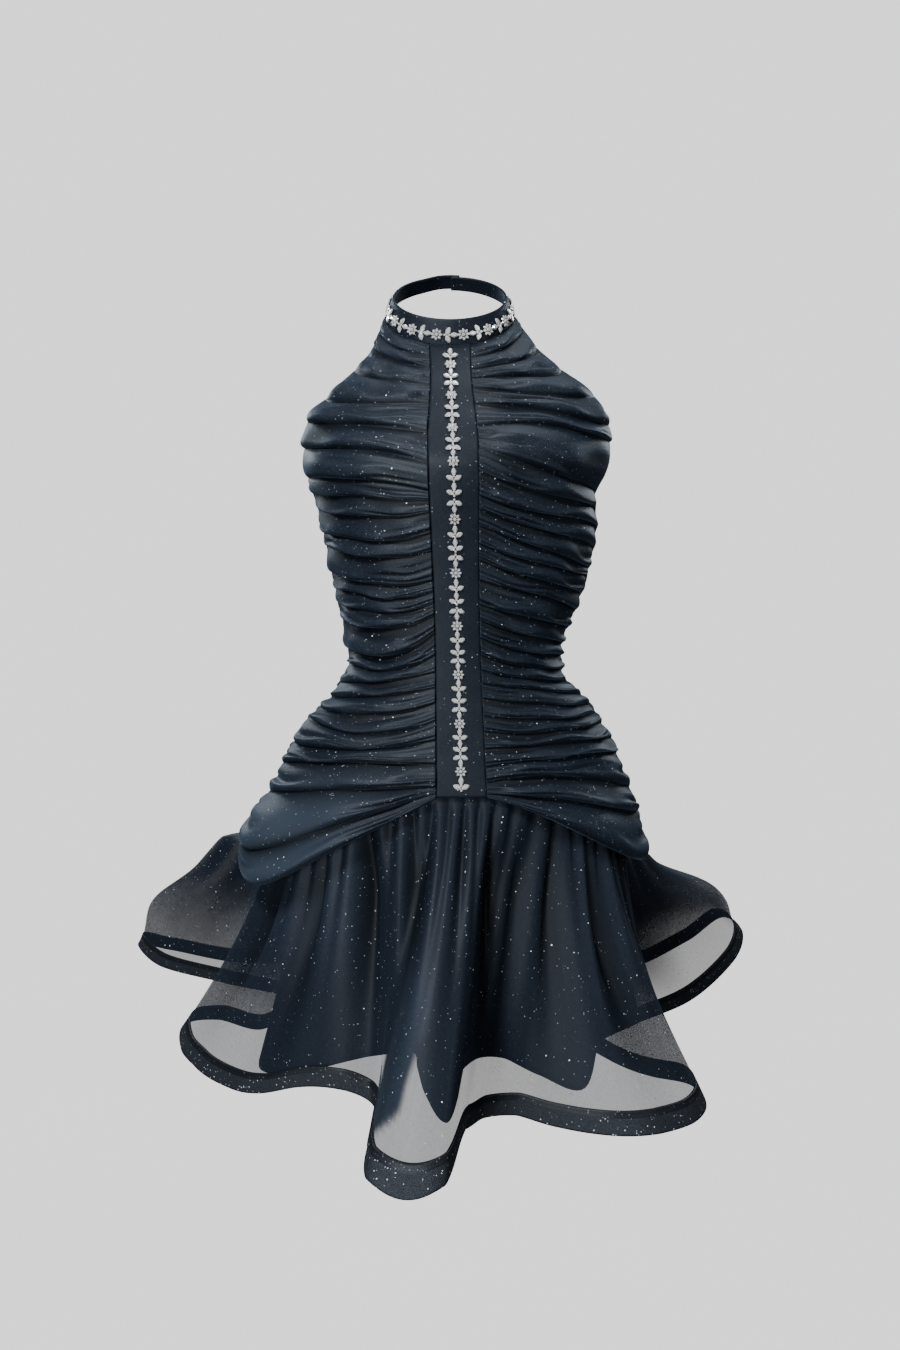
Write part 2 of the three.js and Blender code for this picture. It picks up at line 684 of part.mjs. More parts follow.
// Hem curve, closed, through the turns, with more points where it bends.
function hemCurve(count) {
  const n = HEM.length;
  const at = (i, column) => HEM[((i % n) + n) % n][column];
  const sample = (i, u) => {
    const row = [];
    for (let c = 1; c < 5; c++) {
      const [a, b, d, e] = [at(i - 1, c), at(i, c), at(i + 1, c), at(i + 2, c)];
      const [m0, m1] = [(d - a) / 2, (e - b) / 2];
      const [u2, u3] = [u * u, u * u * u];
      row.push((2 * u3 - 3 * u2 + 1) * b + (u3 - 2 * u2 + u) * m0 + (3 * u2 - 2 * u3) * d + (u3 - u2) * m1);
    }
    const from = at(i, 0);
    const to = at(i + 1, 0) + (i + 1 >= n ? 360 : 0);
    return [lerp(from, to, u), ...row];
  };
  const fine = [];
  for (let i = 0; i < n; i++) for (let k = 0; k < 24; k++) fine.push(sample(i, k / 24));
  const xy = fine.map(([a, r]) => [r * Math.sin(radians(a)), -r * Math.cos(radians(a))]);
  const m = fine.length;
  const total = [0];
  const length = [0];
  for (let i = 0; i < m; i++) {
    const [p, q, s] = [xy[(i - 4 + m) % m], xy[i], xy[(i + 4) % m]];
    const e = xy[(i + 1) % m];
    const d = Math.hypot(e[0] - q[0], e[1] - q[1]);
    const a1 = Math.atan2(q[1] - p[1], q[0] - p[0]);
    const a2 = Math.atan2(s[1] - q[1], s[0] - q[0]);
    const bend = Math.abs(Math.atan2(Math.sin(a2 - a1), Math.cos(a2 - a1)));
    total.push(total[i] + d * (1 + 1.6 * bend));
    length.push(length[i] + d);
  }
  const out = [];
  let i = 0;
  for (let k = 0; k < count; k++) {
    const want = k / count * total[m];
    while (total[i + 1] < want) i++;
    const u = (want - total[i]) / (total[i + 1] - total[i]);
    const next = fine[(i + 1) % m];
    const turnOn = i + 1 >= m ? 360 : 0;
    const row = fine[i].map((v, c) => lerp(v, next[c] + (c === 0 ? turnOn : 0), u));
    out.push({
      angle: row[0], radius: row[1], drop: row[2], liningRadius: row[3], liningDrop: row[4],
      share: lerp(length[i], length[i + 1], u) / length[m],
    });
  }
  return out;
}

// Radius of the body cloth at a true angle and height.
function bodyRadius(angle, z) {
  let lo = Math.abs(angle) <= 90 ? 0 : 90;
  let hi = lo + 90;
  const sign = angle < 0 ? -1 : 1;
  for (let i = 0; i < 18; i++) {
    const mid = (lo + hi) / 2;
    const p = roundBase(sign * mid, z);
    const a = Math.atan2(sign * p[0], -p[1]) * 180 / Math.PI;
    if (a < Math.abs(angle)) lo = mid;
    else hi = mid;
  }
  const p = roundBase(sign * lo, z);
  return Math.hypot(p[0], p[1]);
}

function foldDepth(turn, share) {
  let depth = 0;
  for (const [middle, wide, deep, lowest] of SKIRT_FOLDS) {
    const off = signed(turn - middle) / wide;
    const side = Math.exp(-off * off * 1.6);
    depth += deep * side * smooth(0, lowest, share) * (1 - 0.85 * smooth(lowest, 1, share));
  }
  return depth;
}

const RING_START = -176;
const signed = (deg) => ((deg + 180) % 360 + 360) % 360 - 180;

// A point of a skirt layer: hem sample, share of the way down (below 0 for
// the edge sewn in), how far inside the body cloth the layer starts.
function skirtPoint(h, radius, drop, s, inset) {
  const ring = signed(RING_START + 360 * h.share);
  const away = signed(h.angle - ring);
  const topTurn = signed(ring + 0.25 * away);
  const start = roundBase(topTurn, s < 0 ? SKIRT_TOP : SKIRT_LEAD);
  const fall = clamp(s, 0, 1);
  const flare = lerp(1.5, 0.95, smooth(82, 112, Math.abs(topTurn)));
  const w = Math.pow(fall, flare);
  const a = radians(h.angle);
  const end = [radius * Math.sin(a), -radius * Math.cos(a)];
  const z = s < 0 ? SKIRT_TOP : lerp(SKIRT_LEAD, HEM_DATUM + drop, s);
  const inside = 1 - inset / Math.hypot(start[0], start[1]);
  let x = lerp(start[0] * inside, end[0], w);
  let y = lerp(start[1] * inside, end[1], w);
  const gather = 1 - foldDepth(topTurn, fall) / Math.hypot(x, y);
  x *= gather;
  y *= gather;
  const angle = Math.atan2(x, -y) * 180 / Math.PI;
  const edge = straight(DRAPE_EDGE, angle);
  const free = smooth(0, 26, edge - z);
  const most = bodyRadius(angle, Math.max(z, -582)) - inset;
  const r = Math.hypot(x, y);
  if (r > most) {
    const k = lerp(most, r, free) / r;
    x *= k;
    y *= k;
  }
  return [x, y, z];
}

function layer(curve, radiusOf, dropOf, stops, wall, inset) {
  const count = curve.length;
  const mid = stops.map((s) => curve.map((h) => skirtPoint(h, radiusOf(h), dropOf(h), s, inset)));
  const rows = mid.length;
  const normal = (i, j) => {
    const u = minus(mid[i][(j + 1) % count], mid[i][(j - 1 + count) % count]);
    const v = minus(mid[Math.min(i + 1, rows - 1)][j], mid[Math.max(i - 1, 0)][j]);
    return unit(cross(u, v));
  };
  const moved = (k) => mid.map((row, i) => row.map((p, j) => add(p, times(normal(i, j), k))));
  return ringWall(moved(-wall / 2), moved(wall / 2));
}

function skirt() {
  const curve = hemCurve(SKIRT_COLUMNS);
  const end = 1 - (BRAID_WIDTH + 3 * SEAM) / 300;
  const stops = [-1, 0, 0.15, 0.38, 0.66, end];
  return layer(curve, (h) => h.radius, (h) => h.drop, stops, SKIRT_WALL, 2.9);
}

function hemBraid() {
  const curve = hemCurve(SKIRT_COLUMNS);
  const stops = [1 - BRAID_WIDTH / 300, 1];
  return layer(curve, (h) => h.radius, (h) => h.drop, stops, BRAID_WALL, 2.9);
}

function underskirt() {
  const curve = hemCurve(SKIRT_COLUMNS);
  const stops = [-1, 0, 0.17, 0.42, 0.7, 1];
  return layer(curve, (h) => h.liningRadius, (h) => h.liningDrop, stops, LINING_WALL, 4.8);
}

const cloth = (color, roughness) => new THREE.MeshStandardMaterial({ color, roughness, metalness: 0 });
const knit = cloth(0x1f2833, 0.7);
const plain = cloth(0x171d26, 0.75);
const mesh = cloth(0x2c333c, 0.6);
const dark = cloth(0x141922, 0.8);
const braid = cloth(0x262d37, 0.65);
const stones = new THREE.MeshStandardMaterial({ color: 0xd9d6cf, roughness: 0.2, metalness: 0.6 });

const dress = new THREE.Group();
dress.name = 'halter_mini_dress';
const addPiece = (name, geometry, material) => {
  const piece = new THREE.Mesh(geometry, material);
  piece.name = name;
  dress.add(piece);
};

addPiece('neckband', neckband(), plain);
addPiece('neck_button', neckButton(), plain);
addPiece('neck_trim', neckTrim(), stones);
addPiece('centre_front', centreFront(), plain);
addPiece('centre_trim', centreTrim(), stones);
addPiece('front_left', gatheredFront(-1), knit);
addPiece('front_right', gatheredFront(1), knit);
addPiece('back_panel', backPanel(), knit);
addPiece('skirt', skirt(), mesh);
addPiece('underskirt', underskirt(), dark);
addPiece('hem_braid', hemBraid(), braid);

export default dress;
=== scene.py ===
import math

import bmesh
import bpy
import numpy as np
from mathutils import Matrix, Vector


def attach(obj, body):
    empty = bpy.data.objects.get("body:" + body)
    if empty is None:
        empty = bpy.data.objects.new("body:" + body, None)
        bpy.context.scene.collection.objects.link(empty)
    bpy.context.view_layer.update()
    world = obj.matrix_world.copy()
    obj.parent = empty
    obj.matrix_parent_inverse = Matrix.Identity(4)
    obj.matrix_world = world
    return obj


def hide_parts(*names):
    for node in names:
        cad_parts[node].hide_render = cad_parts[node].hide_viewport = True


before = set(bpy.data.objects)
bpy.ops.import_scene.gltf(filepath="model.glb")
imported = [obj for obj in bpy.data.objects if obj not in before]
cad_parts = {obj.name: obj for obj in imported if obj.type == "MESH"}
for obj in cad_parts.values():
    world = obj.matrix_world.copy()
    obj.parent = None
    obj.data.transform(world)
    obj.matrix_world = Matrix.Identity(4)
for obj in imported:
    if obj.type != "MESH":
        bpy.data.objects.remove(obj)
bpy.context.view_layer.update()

bl_info = {
    "name": "Halter mini dress",
    "version": (1, 0, 0),
    "blender": (4, 5, 0),
    "location": "3D View > Sidebar > Dress",
    "description": "Gathered halter dress with stone trim and a sheer skirt",
    "category": "Object",
}

# Sizes in the tables are millimetres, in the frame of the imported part.
MM = 0.001

# Neckband
BAND_RADIUS = 59.0
BAND_TILT = math.radians(41.5)
BAND_HEIGHT_FRONT = 25.0
BAND_HEIGHT_BACK = 15.0
BAND_LEAN_FRONT = 35.0
BAND_LEAN_BACK = 5.0
BAND_WALL = 3.0
BAND_OVERLAP = 9.0
BAND_GIRTH = 370.0
BUTTON_RADIUS = 5.5

# How far cloth stands out from the inner face of its panel: over the panel,
# tucked under the neckband, and turned under a neighbour. SEAM is a gap.
WALL = 2.0
TUCKED = -1.7
TURNED_UNDER = 0.5
SEAM = 0.3

# Heights of the seams, and the lengths that are counted from them
NECK_LEVEL = -52.0
HIP_SEAM = -479.0
SKIRT_TOP = -467.0
SKIRT_LEAD = -482.0
HEM_DATUM = -368.0
SKIRT_LENGTH = 300.0
BRAID_WIDTH = 21.0

# Angles from the front, in degrees, of the panels' side edges and of the
# place where the hem's ring starts
FRONT_EDGE = 89.8
BACK_EDGE = 88.9
RING_START = -176.0

# Columns of the gathered panels' grids
FRONT_COLUMNS = 100
BACK_COLUMNS = 140

COOL_LIGHT = (0.84, 0.92, 1.0)

# Body sections. columns: height, front depth, side height, left half
# width, right half width, side offset, back depth
SECTIONS = np.array([
    [-52, 43.5, -14, 58, 58, -4, 60],
    [-82, 62, -53, 77, 88, -10, 74],
    [-102, 75.5, -73, 96, 114, -14, 80],
    [-120, 87, -93, 116, 139, -16, 84],
    [-138, 99, -113, 135, 151, -14, 86],
    [-150, 106, -126, 141, 156, -8, 88],
    [-178, 121, -153, 141, 152, -2, 90],
    [-193, 122, -173, 138, 144, 0, 90],
    [-208, 119, -193, 131, 141, 0, 90],
    [-223, 114.5, -213, 126, 142, 0, 90],
    [-257, 105, -253, 117, 137, 0, 88],
    [-293, 97, -293, 108, 125, 0, 84],
    [-333, 91, -333, 101, 109, 0, 81],
    [-353, 89, -353, 97, 108, 0, 80],
    [-373, 90, -373, 106, 112, 0, 82],
    [-393, 92, -393, 118, 132, 0, 88],
    [-413, 95, -413, 140, 146, 0, 96],
    [-433, 98, -433, 152, 160, 0, 104],
    [-453, 102, -453, 163, 164, 0, 110],
    [-473, 106, -473, 171, 174, 0, 115],
    [-493, 110, -493, 183, 180, 0, 119],
    [-523, 118, -523, 203, 188, 0, 126],
    [-553, 126, -553, 205, 193, 0, 133],
    [-583, 133, -583, 195, 190, 0, 140],
])
HEIGHT, FRONT, SIDE_HEIGHT, LEFT, RIGHT, SIDE, BACK = range(7)

# Smooth strip down the centre front. columns: height, half width
STRIP = np.array([
    [-52, 17], [-90, 18.5], [-150, 22.4], [-200, 22],
    [-300, 20.2], [-353, 20.2], [-480, 22.5], [-600, 22.5],
])

# Valleys between the gathered folds. columns: height at the centre seam, at
# a third, at two thirds, at the side, and how far the fold stands out
FOLDS_LEFT = np.array([
    [-52, -52, -52, -52, 3],
    [-66, -65, -63, -62, 4],
    [-79, -77, -74, -73, 4.5],
    [-100, -98, -98, -98, 5.5],
    [-120, -122, -124, -124, 6],
    [-150, -143, -143, -142, 6],
    [-180, -168, -167, -166, 6.5],
    [-204, -194, -192, -190, 4],
    [-212, -208, -205, -202, 4.5],
    [-222, -224, -218, -214, 5.5],
    [-240, -245, -237, -232, 5],
    [-256, -259, -250, -244, 6],
    [-282, -284, -274, -266, 5],
    [-292, -295, -286, -280, 5],
    [-302, -309, -301, -294, 5.5],
    [-314, -324, -318, -310, 7],
    [-330, -350, -345, -338, 5.5],
    [-350, -364, -360, -356, 4.5],
    [-366, -374, -376, -376, 5],
    [-380, -388, -391, -391, 5.5],
    [-394, -406, -404, -402, 5],
    [-410, -423, -415, -412, 7],
    [-428, -437, -437, -434, 7],
    [-450, -449, -452, -456, 8],
    [-470, -474, -480, -484, 8],
    [-475.5, -507, -534, -520, 6],
    [-479.5, -531, -566, -545, 0],
])
FOLDS_RIGHT = np.array([
    [-52, -52, -52, -52, 3],
    [-68, -65, -62, -60, 4],
    [-82, -79, -78, -76, 5],
    [-92, -94, -98, -97, 5],
    [-102, -112, -119, -121, 6],
    [-120, -130, -142, -144, 5],
    [-144, -144, -155, -160, 7],
    [-166, -187, -198, -206, 5],
    [-188, -206, -212, -222, 5],
    [-208, -222, -226, -236, 5],
    [-220, -236, -243, -251, 5],
    [-234, -252, -262, -265, 5],
    [-250, -265, -270, -274, 5],
    [-264, -279, -285, -290, 5],
    [-282, -292, -299, -305, 6],
    [-304, -314, -318, -322, 5.5],
    [-318, -330, -334, -338, 5],
    [-334, -346, -348, -350, 5],
    [-350, -360, -362, -364, 4.5],
    [-364, -372, -375, -378, 4.5],
    [-376, -383, -388, -390, 4.5],
    [-390, -396, -398, -399, 4.5],
    [-406, -410, -408, -407, 5],
    [-420, -421, -417, -418, 5.5],
    [-436, -431, -430, -431, 7],
    [-452, -444, -442, -445, 7],
    [-466, -462, -472, -480, 8],
    [-476, -484, -497, -504, 8],
    [-479.5, -510, -542, -536, 0],
])
FOLDS_BACK = np.array([
    [-128, -240, -240, -128, 2.5],
    [-150, -252, -250, -148, 3],
    [-178, -264, -262, -176, 3.5],
    [-208, -279, -280, -210, 3.5],
    [-240, -296, -295, -238, 4],
    [-270, -314, -316, -272, 4],
    [-300, -334, -332, -299, 4],
    [-330, -353, -351, -332, 4],
    [-358, -372, -374, -357, 4],
    [-388, -396, -395, -390, 5],
    [-419, -424, -425, -417, 5],
    [-450, -453, -452, -451, 5],
    [-484, -468, -468, -482, 6],
    [-526, -481, -481, -524, 0],
])

# Hem turns. columns: angle from the front, hem radius, hem height below the
# datum, lining radius, lining height
HEM = np.array([
    [-172, 196, -352, 172, -325], [-163, 300, -362, 200, -330],
    [-156, 344, -356, 208, -332], [-149, 318, -350, 196, -330],
    [-142, 200, -338, 172, -325], [-134, 214, -330, 170, -322],
    [-127.5, 330, -338, 186, -326], [-123.5, 410, -330, 196, -328],
    [-121, 438, -324, 200, -328], [-119.6, 392, -342, 192, -328],
    [-118.6, 290, -346, 180, -326], [-116.8, 188, -350, 166, -330],
    [-115, 226, -384, 176, -345], [-113.2, 276, -378, 184, -355],
    [-109.5, 305, -380, 188, -362], [-102.5, 292, -393, 190, -372],
    [-94, 262, -397, 191, -380], [-84, 224, -401, 188, -386],
    [-74, 195, -398, 172, -382], [-60, 160, -382, 140, -368],
    [-47, 139, -379, 121, -356], [-36, 122, -390, 108, -350],
    [-25, 150, -389, 103, -346], [-18.2, 216, -386, 104, -345],
    [-14.2, 262, -388, 120, -350], [-7, 279, -393, 160, -362],
    [-1, 264, -389, 190, -371], [2.2, 200, -384, 158, -365],
    [5.5, 136, -399, 112, -356], [16, 110, -401, 95, -352],
    [31, 118, -400, 99, -354], [41, 152, -406, 128, -366],
    [49, 197, -407, 160, -375], [57, 226, -408, 166, -340],
    [67, 243, -409, 178, -330], [79, 250, -409, 186, -330],
    [90, 243, -410, 186, -332], [103, 212, -417, 168, -336],
    [112, 184, -408, 152, -336], [118, 176, -396, 142, -334],
    [121.8, 250, -388, 152, -332], [123.2, 340, -378, 166, -330],
    [124.3, 418, -345, 186, -330], [125.8, 446, -318, 202, -328],
    [128.2, 432, -300, 200, -328], [131, 392, -326, 192, -326],
    [135, 320, -350, 182, -326], [141, 205, -352, 170, -325],
    [149, 214, -350, 172, -325], [157, 316, -356, 196, -330],
    [164, 350, -358, 208, -332], [172, 296, -364, 198, -330],
])

# Where the front drape hangs over the skirt. columns: angle, lowest height
DRAPE_EDGE = np.array([
    [-180, -483], [-146, -484], [-128, -512], [-112, -524], [-99, -542],
    [-95, -554], [-80, -574], [-52, -568], [-26, -520], [-11, -484],
    [11, -484], [26, -500], [52, -536], [75, -552], [95, -550], [99, -542],
    [112, -524], [128, -512], [146, -484], [180, -483],
])

# Valleys of the gathered skirt. columns: angle at the hip seam, half width
# in degrees, depth, share of the way down where it is deepest
SKIRT_FOLDS = np.array([
    [-171, 7, 11, 0.4], [-153, 6, 9, 0.3], [-136, 7, 12, 0.35],
    [-118, 6, 9, 0.35], [-100, 6, 8, 0.5], [-81, 6, 9, 0.5],
    [-62, 6, 11, 0.45], [-45, 5, 9, 0.45], [-28, 5, 11, 0.35],
    [-11, 4.5, 12, 0.3], [2, 4, 6, 0.2], [13, 5.5, 17, 0.35],
    [22, 4, 9, 0.3], [34, 5, 10, 0.35], [48, 5, 13, 0.45],
    [64, 6, 9, 0.45], [82, 6, 9, 0.5], [99, 6, 8, 0.5], [117, 6, 10, 0.35],
    [134, 7, 11, 0.35], [152, 6, 9, 0.3], [169, 7, 12, 0.4],
])

# Stone motifs. columns: across, up, turn in degrees, length, width, height
LEAF = [
    [0, 4.1, 0, 8.4, 5.6, 2.3], [-4.2, -1.9, 66, 8.6, 5.6, 2.2],
    [4.2, -1.9, -66, 8.6, 5.6, 2.2], [0, -0.5, 0, 2.8, 2.8, 2.9],
    [0, -5.4, 0, 2.9, 2.9, 2.0],
]
BLOSSOM = [[0, 0, 0, 4.2, 4.2, 2.9]] + [
    [-4.3 * math.sin(math.radians(a)), 4.3 * math.cos(math.radians(a)),
     a, 4.4, 3.2, 2.1]
    for a in range(0, 360, 45)
]

# Round motifs down the centre, the steps between the leaves that fill the
# spaces, the last leaf, and how much smaller than the tables the motifs are
FLOWER_HEIGHTS = [-76, -111, -146, -179, -228, -275, -323, -368, -413, -456]
LEAF_PITCH = 11.6
LAST_LEAF = -468
CENTRE_SCALE = 0.83
NECK_SCALE = 0.9
NECK_MOTIFS = 23


# Measures

def span(a, b, t):
    return a + (b - a) * t


def smooth(a, b, v):
    t = np.clip((v - a) / (b - a), 0.0, 1.0)
    return t * t * (3 - 2 * t)


def point(x, y, z):
    return np.stack(np.broadcast_arrays(x, y, z), axis=-1).astype(float)


def along(table, key, column, x):
    """Smooth value of one column of a table whose key falls down the rows."""
    keys, values = -table[:, key], table[:, column]
    rise = np.diff(values) / np.diff(keys)
    slope = np.concatenate([rise[:1], (rise[:-1] + rise[1:]) / 2, rise[-1:]])
    i = np.clip(np.searchsorted(keys, x) - 1, 0, len(keys) - 2)
    wide = keys[i + 1] - keys[i]
    t = (x - keys[i]) / wide
    t2, t3 = t * t, t * t * t
    start = (2 * t3 - 3 * t2 + 1) * values[i] + (t3 - 2 * t2 + t) * wide * slope[i]
    end = (3 * t2 - 2 * t3) * values[i + 1] + (t3 - t2) * wide * slope[i + 1]
    return start + end


def section(height, column):
    return along(SECTIONS, HEIGHT, column, -np.asarray(height, float))


def side_section(z, column):
    return along(SECTIONS, SIDE_HEIGHT, column, -np.asarray(z, float))


def centre_line(height):
    return 10.5 * (NECK_LEVEL - height) / 430


def strip_half(height):
    return np.interp(-np.asarray(height, float), -STRIP[:, 0], STRIP[:, 1])


def band_frame(angle):
    """Middle of the neckband at an angle, its upward way, face and height."""
    a = np.radians(angle)
    front = (1 + np.cos(a)) / 2
    out = point(np.sin(a), -np.cos(a) * math.cos(BAND_TILT), -np.cos(a) * math.sin(BAND_TILT))
    up = np.array([0, -math.sin(BAND_TILT), math.cos(BAND_TILT)])
    lean = np.radians(span(BAND_LEAN_BACK, BAND_LEAN_FRONT, front))[..., None]
    rise = up * np.cos(lean) - out * np.sin(lean)
    face = out * np.cos(lean) + up * np.sin(lean)
    return out * BAND_RADIUS, rise, face, span(BAND_HEIGHT_BACK, BAND_HEIGHT_FRONT, front)


def band_lower_edge(angle):
    middle, rise, _, height = band_frame(angle)
    return middle - rise * (height / 2 + 2 * SEAM)[..., None]


def front_base(side, turn, height):
    """Inner face of the front cloth, from the centre front to the side."""
    side, turn, height = np.broadcast_arrays(
        np.asarray(side, float), np.asarray(turn, float), np.asarray(height, float))
    t = np.radians(turn)
    half = np.where(side < 0, section(height, LEFT), section(height, RIGHT))
    mid = centre_line(height)
    y = section(height, SIDE)
    lift = section(height, SIDE_HEIGHT) - height
    p = point(mid + (side * half - mid) * np.sin(t),
              y - (section(height, FRONT) + y) * np.cos(t),
              height + lift * (1 - np.cos(t)))
    fade = np.clip((height + 104) / 52, 0, 1)[..., None]
    side_rise = section(NECK_LEVEL, SIDE_HEIGHT) - NECK_LEVEL
    offset = section(NECK_LEVEL, SIDE)
    start = point(side * section(NECK_LEVEL, LEFT) * np.sin(t),
                  offset - (section(NECK_LEVEL, FRONT) + offset) * np.cos(t),
                  NECK_LEVEL + side_rise * (1 - np.cos(t)))
    return p + (band_lower_edge(side * turn) - start) * fade


def seam_turn(side, height, extra):
    half = np.where(np.asarray(side) < 0, section(height, LEFT), section(height, RIGHT))
    reach = np.abs(side * half - centre_line(height))
    return np.degrees(np.arcsin((strip_half(height) + extra) / reach))


def back_base(turn, z):
    """Inner face of the back cloth."""
    turn, z = np.broadcast_arrays(np.asarray(turn, float), np.asarray(z, float))
    t = np.radians(turn)
    side = np.where(np.sin(t) < 0, -1.0, 1.0)
    half = np.where(side < 0, side_section(z, LEFT), side_section(z, RIGHT))
    mid = centre_line(z)
    y = side_section(z, SIDE)
    return point(mid + (side * half - mid) * np.abs(np.sin(t)),
                 y - (side_section(z, BACK) - y) * np.cos(t), z)


def round_base(angle, z):
    angle, z = np.broadcast_arrays(np.asarray(angle, float), np.asarray(z, float))
    front = front_base(np.where(angle < 0, -1.0, 1.0), np.abs(angle), z)
    return np.where((np.abs(angle) <= 90)[..., None], front, back_base(angle, z))


def normal_of(base, a, b, da, db):
    u = base(a + da, b) - base(a - da, b)
    v = base(a, b + db) - base(a, b - db)
    n = np.cross(u, v)
    return n / np.maximum(np.linalg.norm(n, axis=-1, keepdims=True), 1e-9)


def valley(rows, k, u):
    """Height of a valley line across the panel."""
    w = np.stack([-4.5 * (u - 1 / 3) * (u - 2 / 3) * (u - 1),
                  13.5 * u * (u - 2 / 3) * (u - 1),
                  -13.5 * u * (u - 1 / 3) * (u - 1),
                  4.5 * u * (u - 1 / 3) * (u - 2 / 3)], axis=-1)
    return (rows[k, :4] * w).sum(-1)


def front_point(side):
    def place(u, height, out):
        def at(v, h):
            start = seam_turn(side, height, 2 * SEAM)
            return front_base(side, start + v * (FRONT_EDGE - start), h)
        n = normal_of(at, u, height, 0.01, 1.0)
        return at(u, height) + n * (out * side)[..., None]
    return place


def back_point(u, height, out):
    """A point of the back, whose side edges are turned in under the fronts."""
    def at(v, h):
        return back_base(-BACK_EDGE - v * 2 * (180 - BACK_EDGE), h)
    column = np.minimum(u, 1 - u) * BACK_COLUMNS
    out = span(TURNED_UNDER, out, smooth(1.02, 2, column))
    return at(u, height) - normal_of(at, u, height, 0.005, 1.0) * out[..., None]


def strip_point(v, height, out):
    v, height, out = np.broadcast_arrays(
        np.asarray(v, float), np.asarray(height, float), np.asarray(out, float))

    def at(w, h):
        side = np.where(w < 0, -1.0, 1.0)
        return front_base(side, np.abs(w) * seam_turn(side, h, 0.0), h)
    return at(v, height) + normal_of(at, v, height, 0.02, 1.0) * out[..., None]


# Modelling

def grid_mesh(name, columns, rows, place, ring=False):
    """A grid whose points are moved by place(column, row) in millimetres.

    place gives the points, their places on the flat cloth in metres and, for
    some pieces, values that the finishes read at each point."""
    bm = bmesh.new()
    bmesh.ops.create_grid(bm, x_segments=columns, y_segments=rows, size=0.5)
    mesh = bpy.data.meshes.new(name)
    bm.to_mesh(mesh)
    bm.free()
    flat = np.zeros(len(mesh.vertices) * 3)
    mesh.vertices.foreach_get("co", flat)
    flat = flat.reshape(-1, 3)
    column = np.rint((flat[:, 0] + 0.5) * columns).astype(int)
    row = np.rint((flat[:, 1] + 0.5) * rows).astype(int)
    points, cloth, *marks = place(column, row)
    mesh.vertices.foreach_set("co", (points * MM).ravel())
    corner = np.zeros(len(mesh.loops), int)
    mesh.loops.foreach_get("vertex_index", corner)
    layer = mesh.uv_layers.get("Cloth") or mesh.uv_layers.new(name="Cloth")
    layer.data.foreach_set("uv", cloth[corner].ravel())
    for key, value in (marks[0] if marks else {}).items():
        mesh.attributes.new(key, "FLOAT", "POINT").data.foreach_set("value", value)
    mesh.update()
    bm = bmesh.new()
    bm.from_mesh(mesh)
    if ring:
        bmesh.ops.remove_doubles(bm, verts=bm.verts, dist=1e-6)
    bm.normal_update()
    facing = 0.0
    for face in bm.faces:
        c = face.calc_center_median()
        facing += face.normal.dot(Vector((c.x, c.y, 0.0))) * face.calc_area()
    if facing < 0:
        bmesh.ops.reverse_faces(bm, faces=bm.faces)
    bm.to_mesh(mesh)
    bm.free()
    return mesh


def outward_mesh(name, bm):
    """Mesh of what was modelled, with its faces turned outward."""
    bmesh.ops.recalc_face_normals(bm, faces=bm.faces)
    mesh = bpy.data.meshes.new(name)
    bm.to_mesh(mesh)
    bm.free()
    return mesh


def shade(mesh, smoothly):
    mesh.polygons.foreach_set("use_smooth", [smoothly] * len(mesh.polygons))


def piece(name, mesh, looks, node, wall=0.0, offset=-1.0):
    """Puts a mesh with its finishes in the scene, for its CAD node."""
    shade(mesh, True)
    obj = bpy.data.objects.new(name, mesh)
    bpy.context.scene.collection.objects.link(obj)
    for look in looks:
        mesh.materials.append(bpy.data.materials[look])
    if wall:
        cloth = obj.modifiers.new("Cloth wall", "SOLIDIFY")
        cloth.thickness = wall * MM
        cloth.offset = offset
    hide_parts(node)
    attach(obj, "root")
    return obj


def fold_steps(folds, steps):
    """Fold number and share of the way over it for each row of a panel."""
    even = np.arange(steps) / steps
    t = 0.55 * even + 0.45 * (0.5 - 0.5 * np.cos(np.pi * even))
    number = np.repeat(np.arange(folds), steps)
    return np.append(number, folds - 1), np.append(np.tile(t, folds), 1.0)


def front_ease(u):
    """How far the folds of a front stand out, from the centre to the side."""
    return span(0.45, 1, smooth(0, 0.16, u)) * span(1, 0.3, smooth(0.72, 0.98, u))


def back_ease(u):
    """How far the folds of the back stand out, from side to side."""
    edge = np.minimum(u, 1 - u)
    return span(0.3, 1, smooth(0, 0.05, edge)) * span(1, 0.55, smooth(0.1, 0.45, edge))


def waves(turns):
    return np.sin(6.28 * turns)


def notch(distance, width):
    return np.exp(-(distance / width) ** 2)


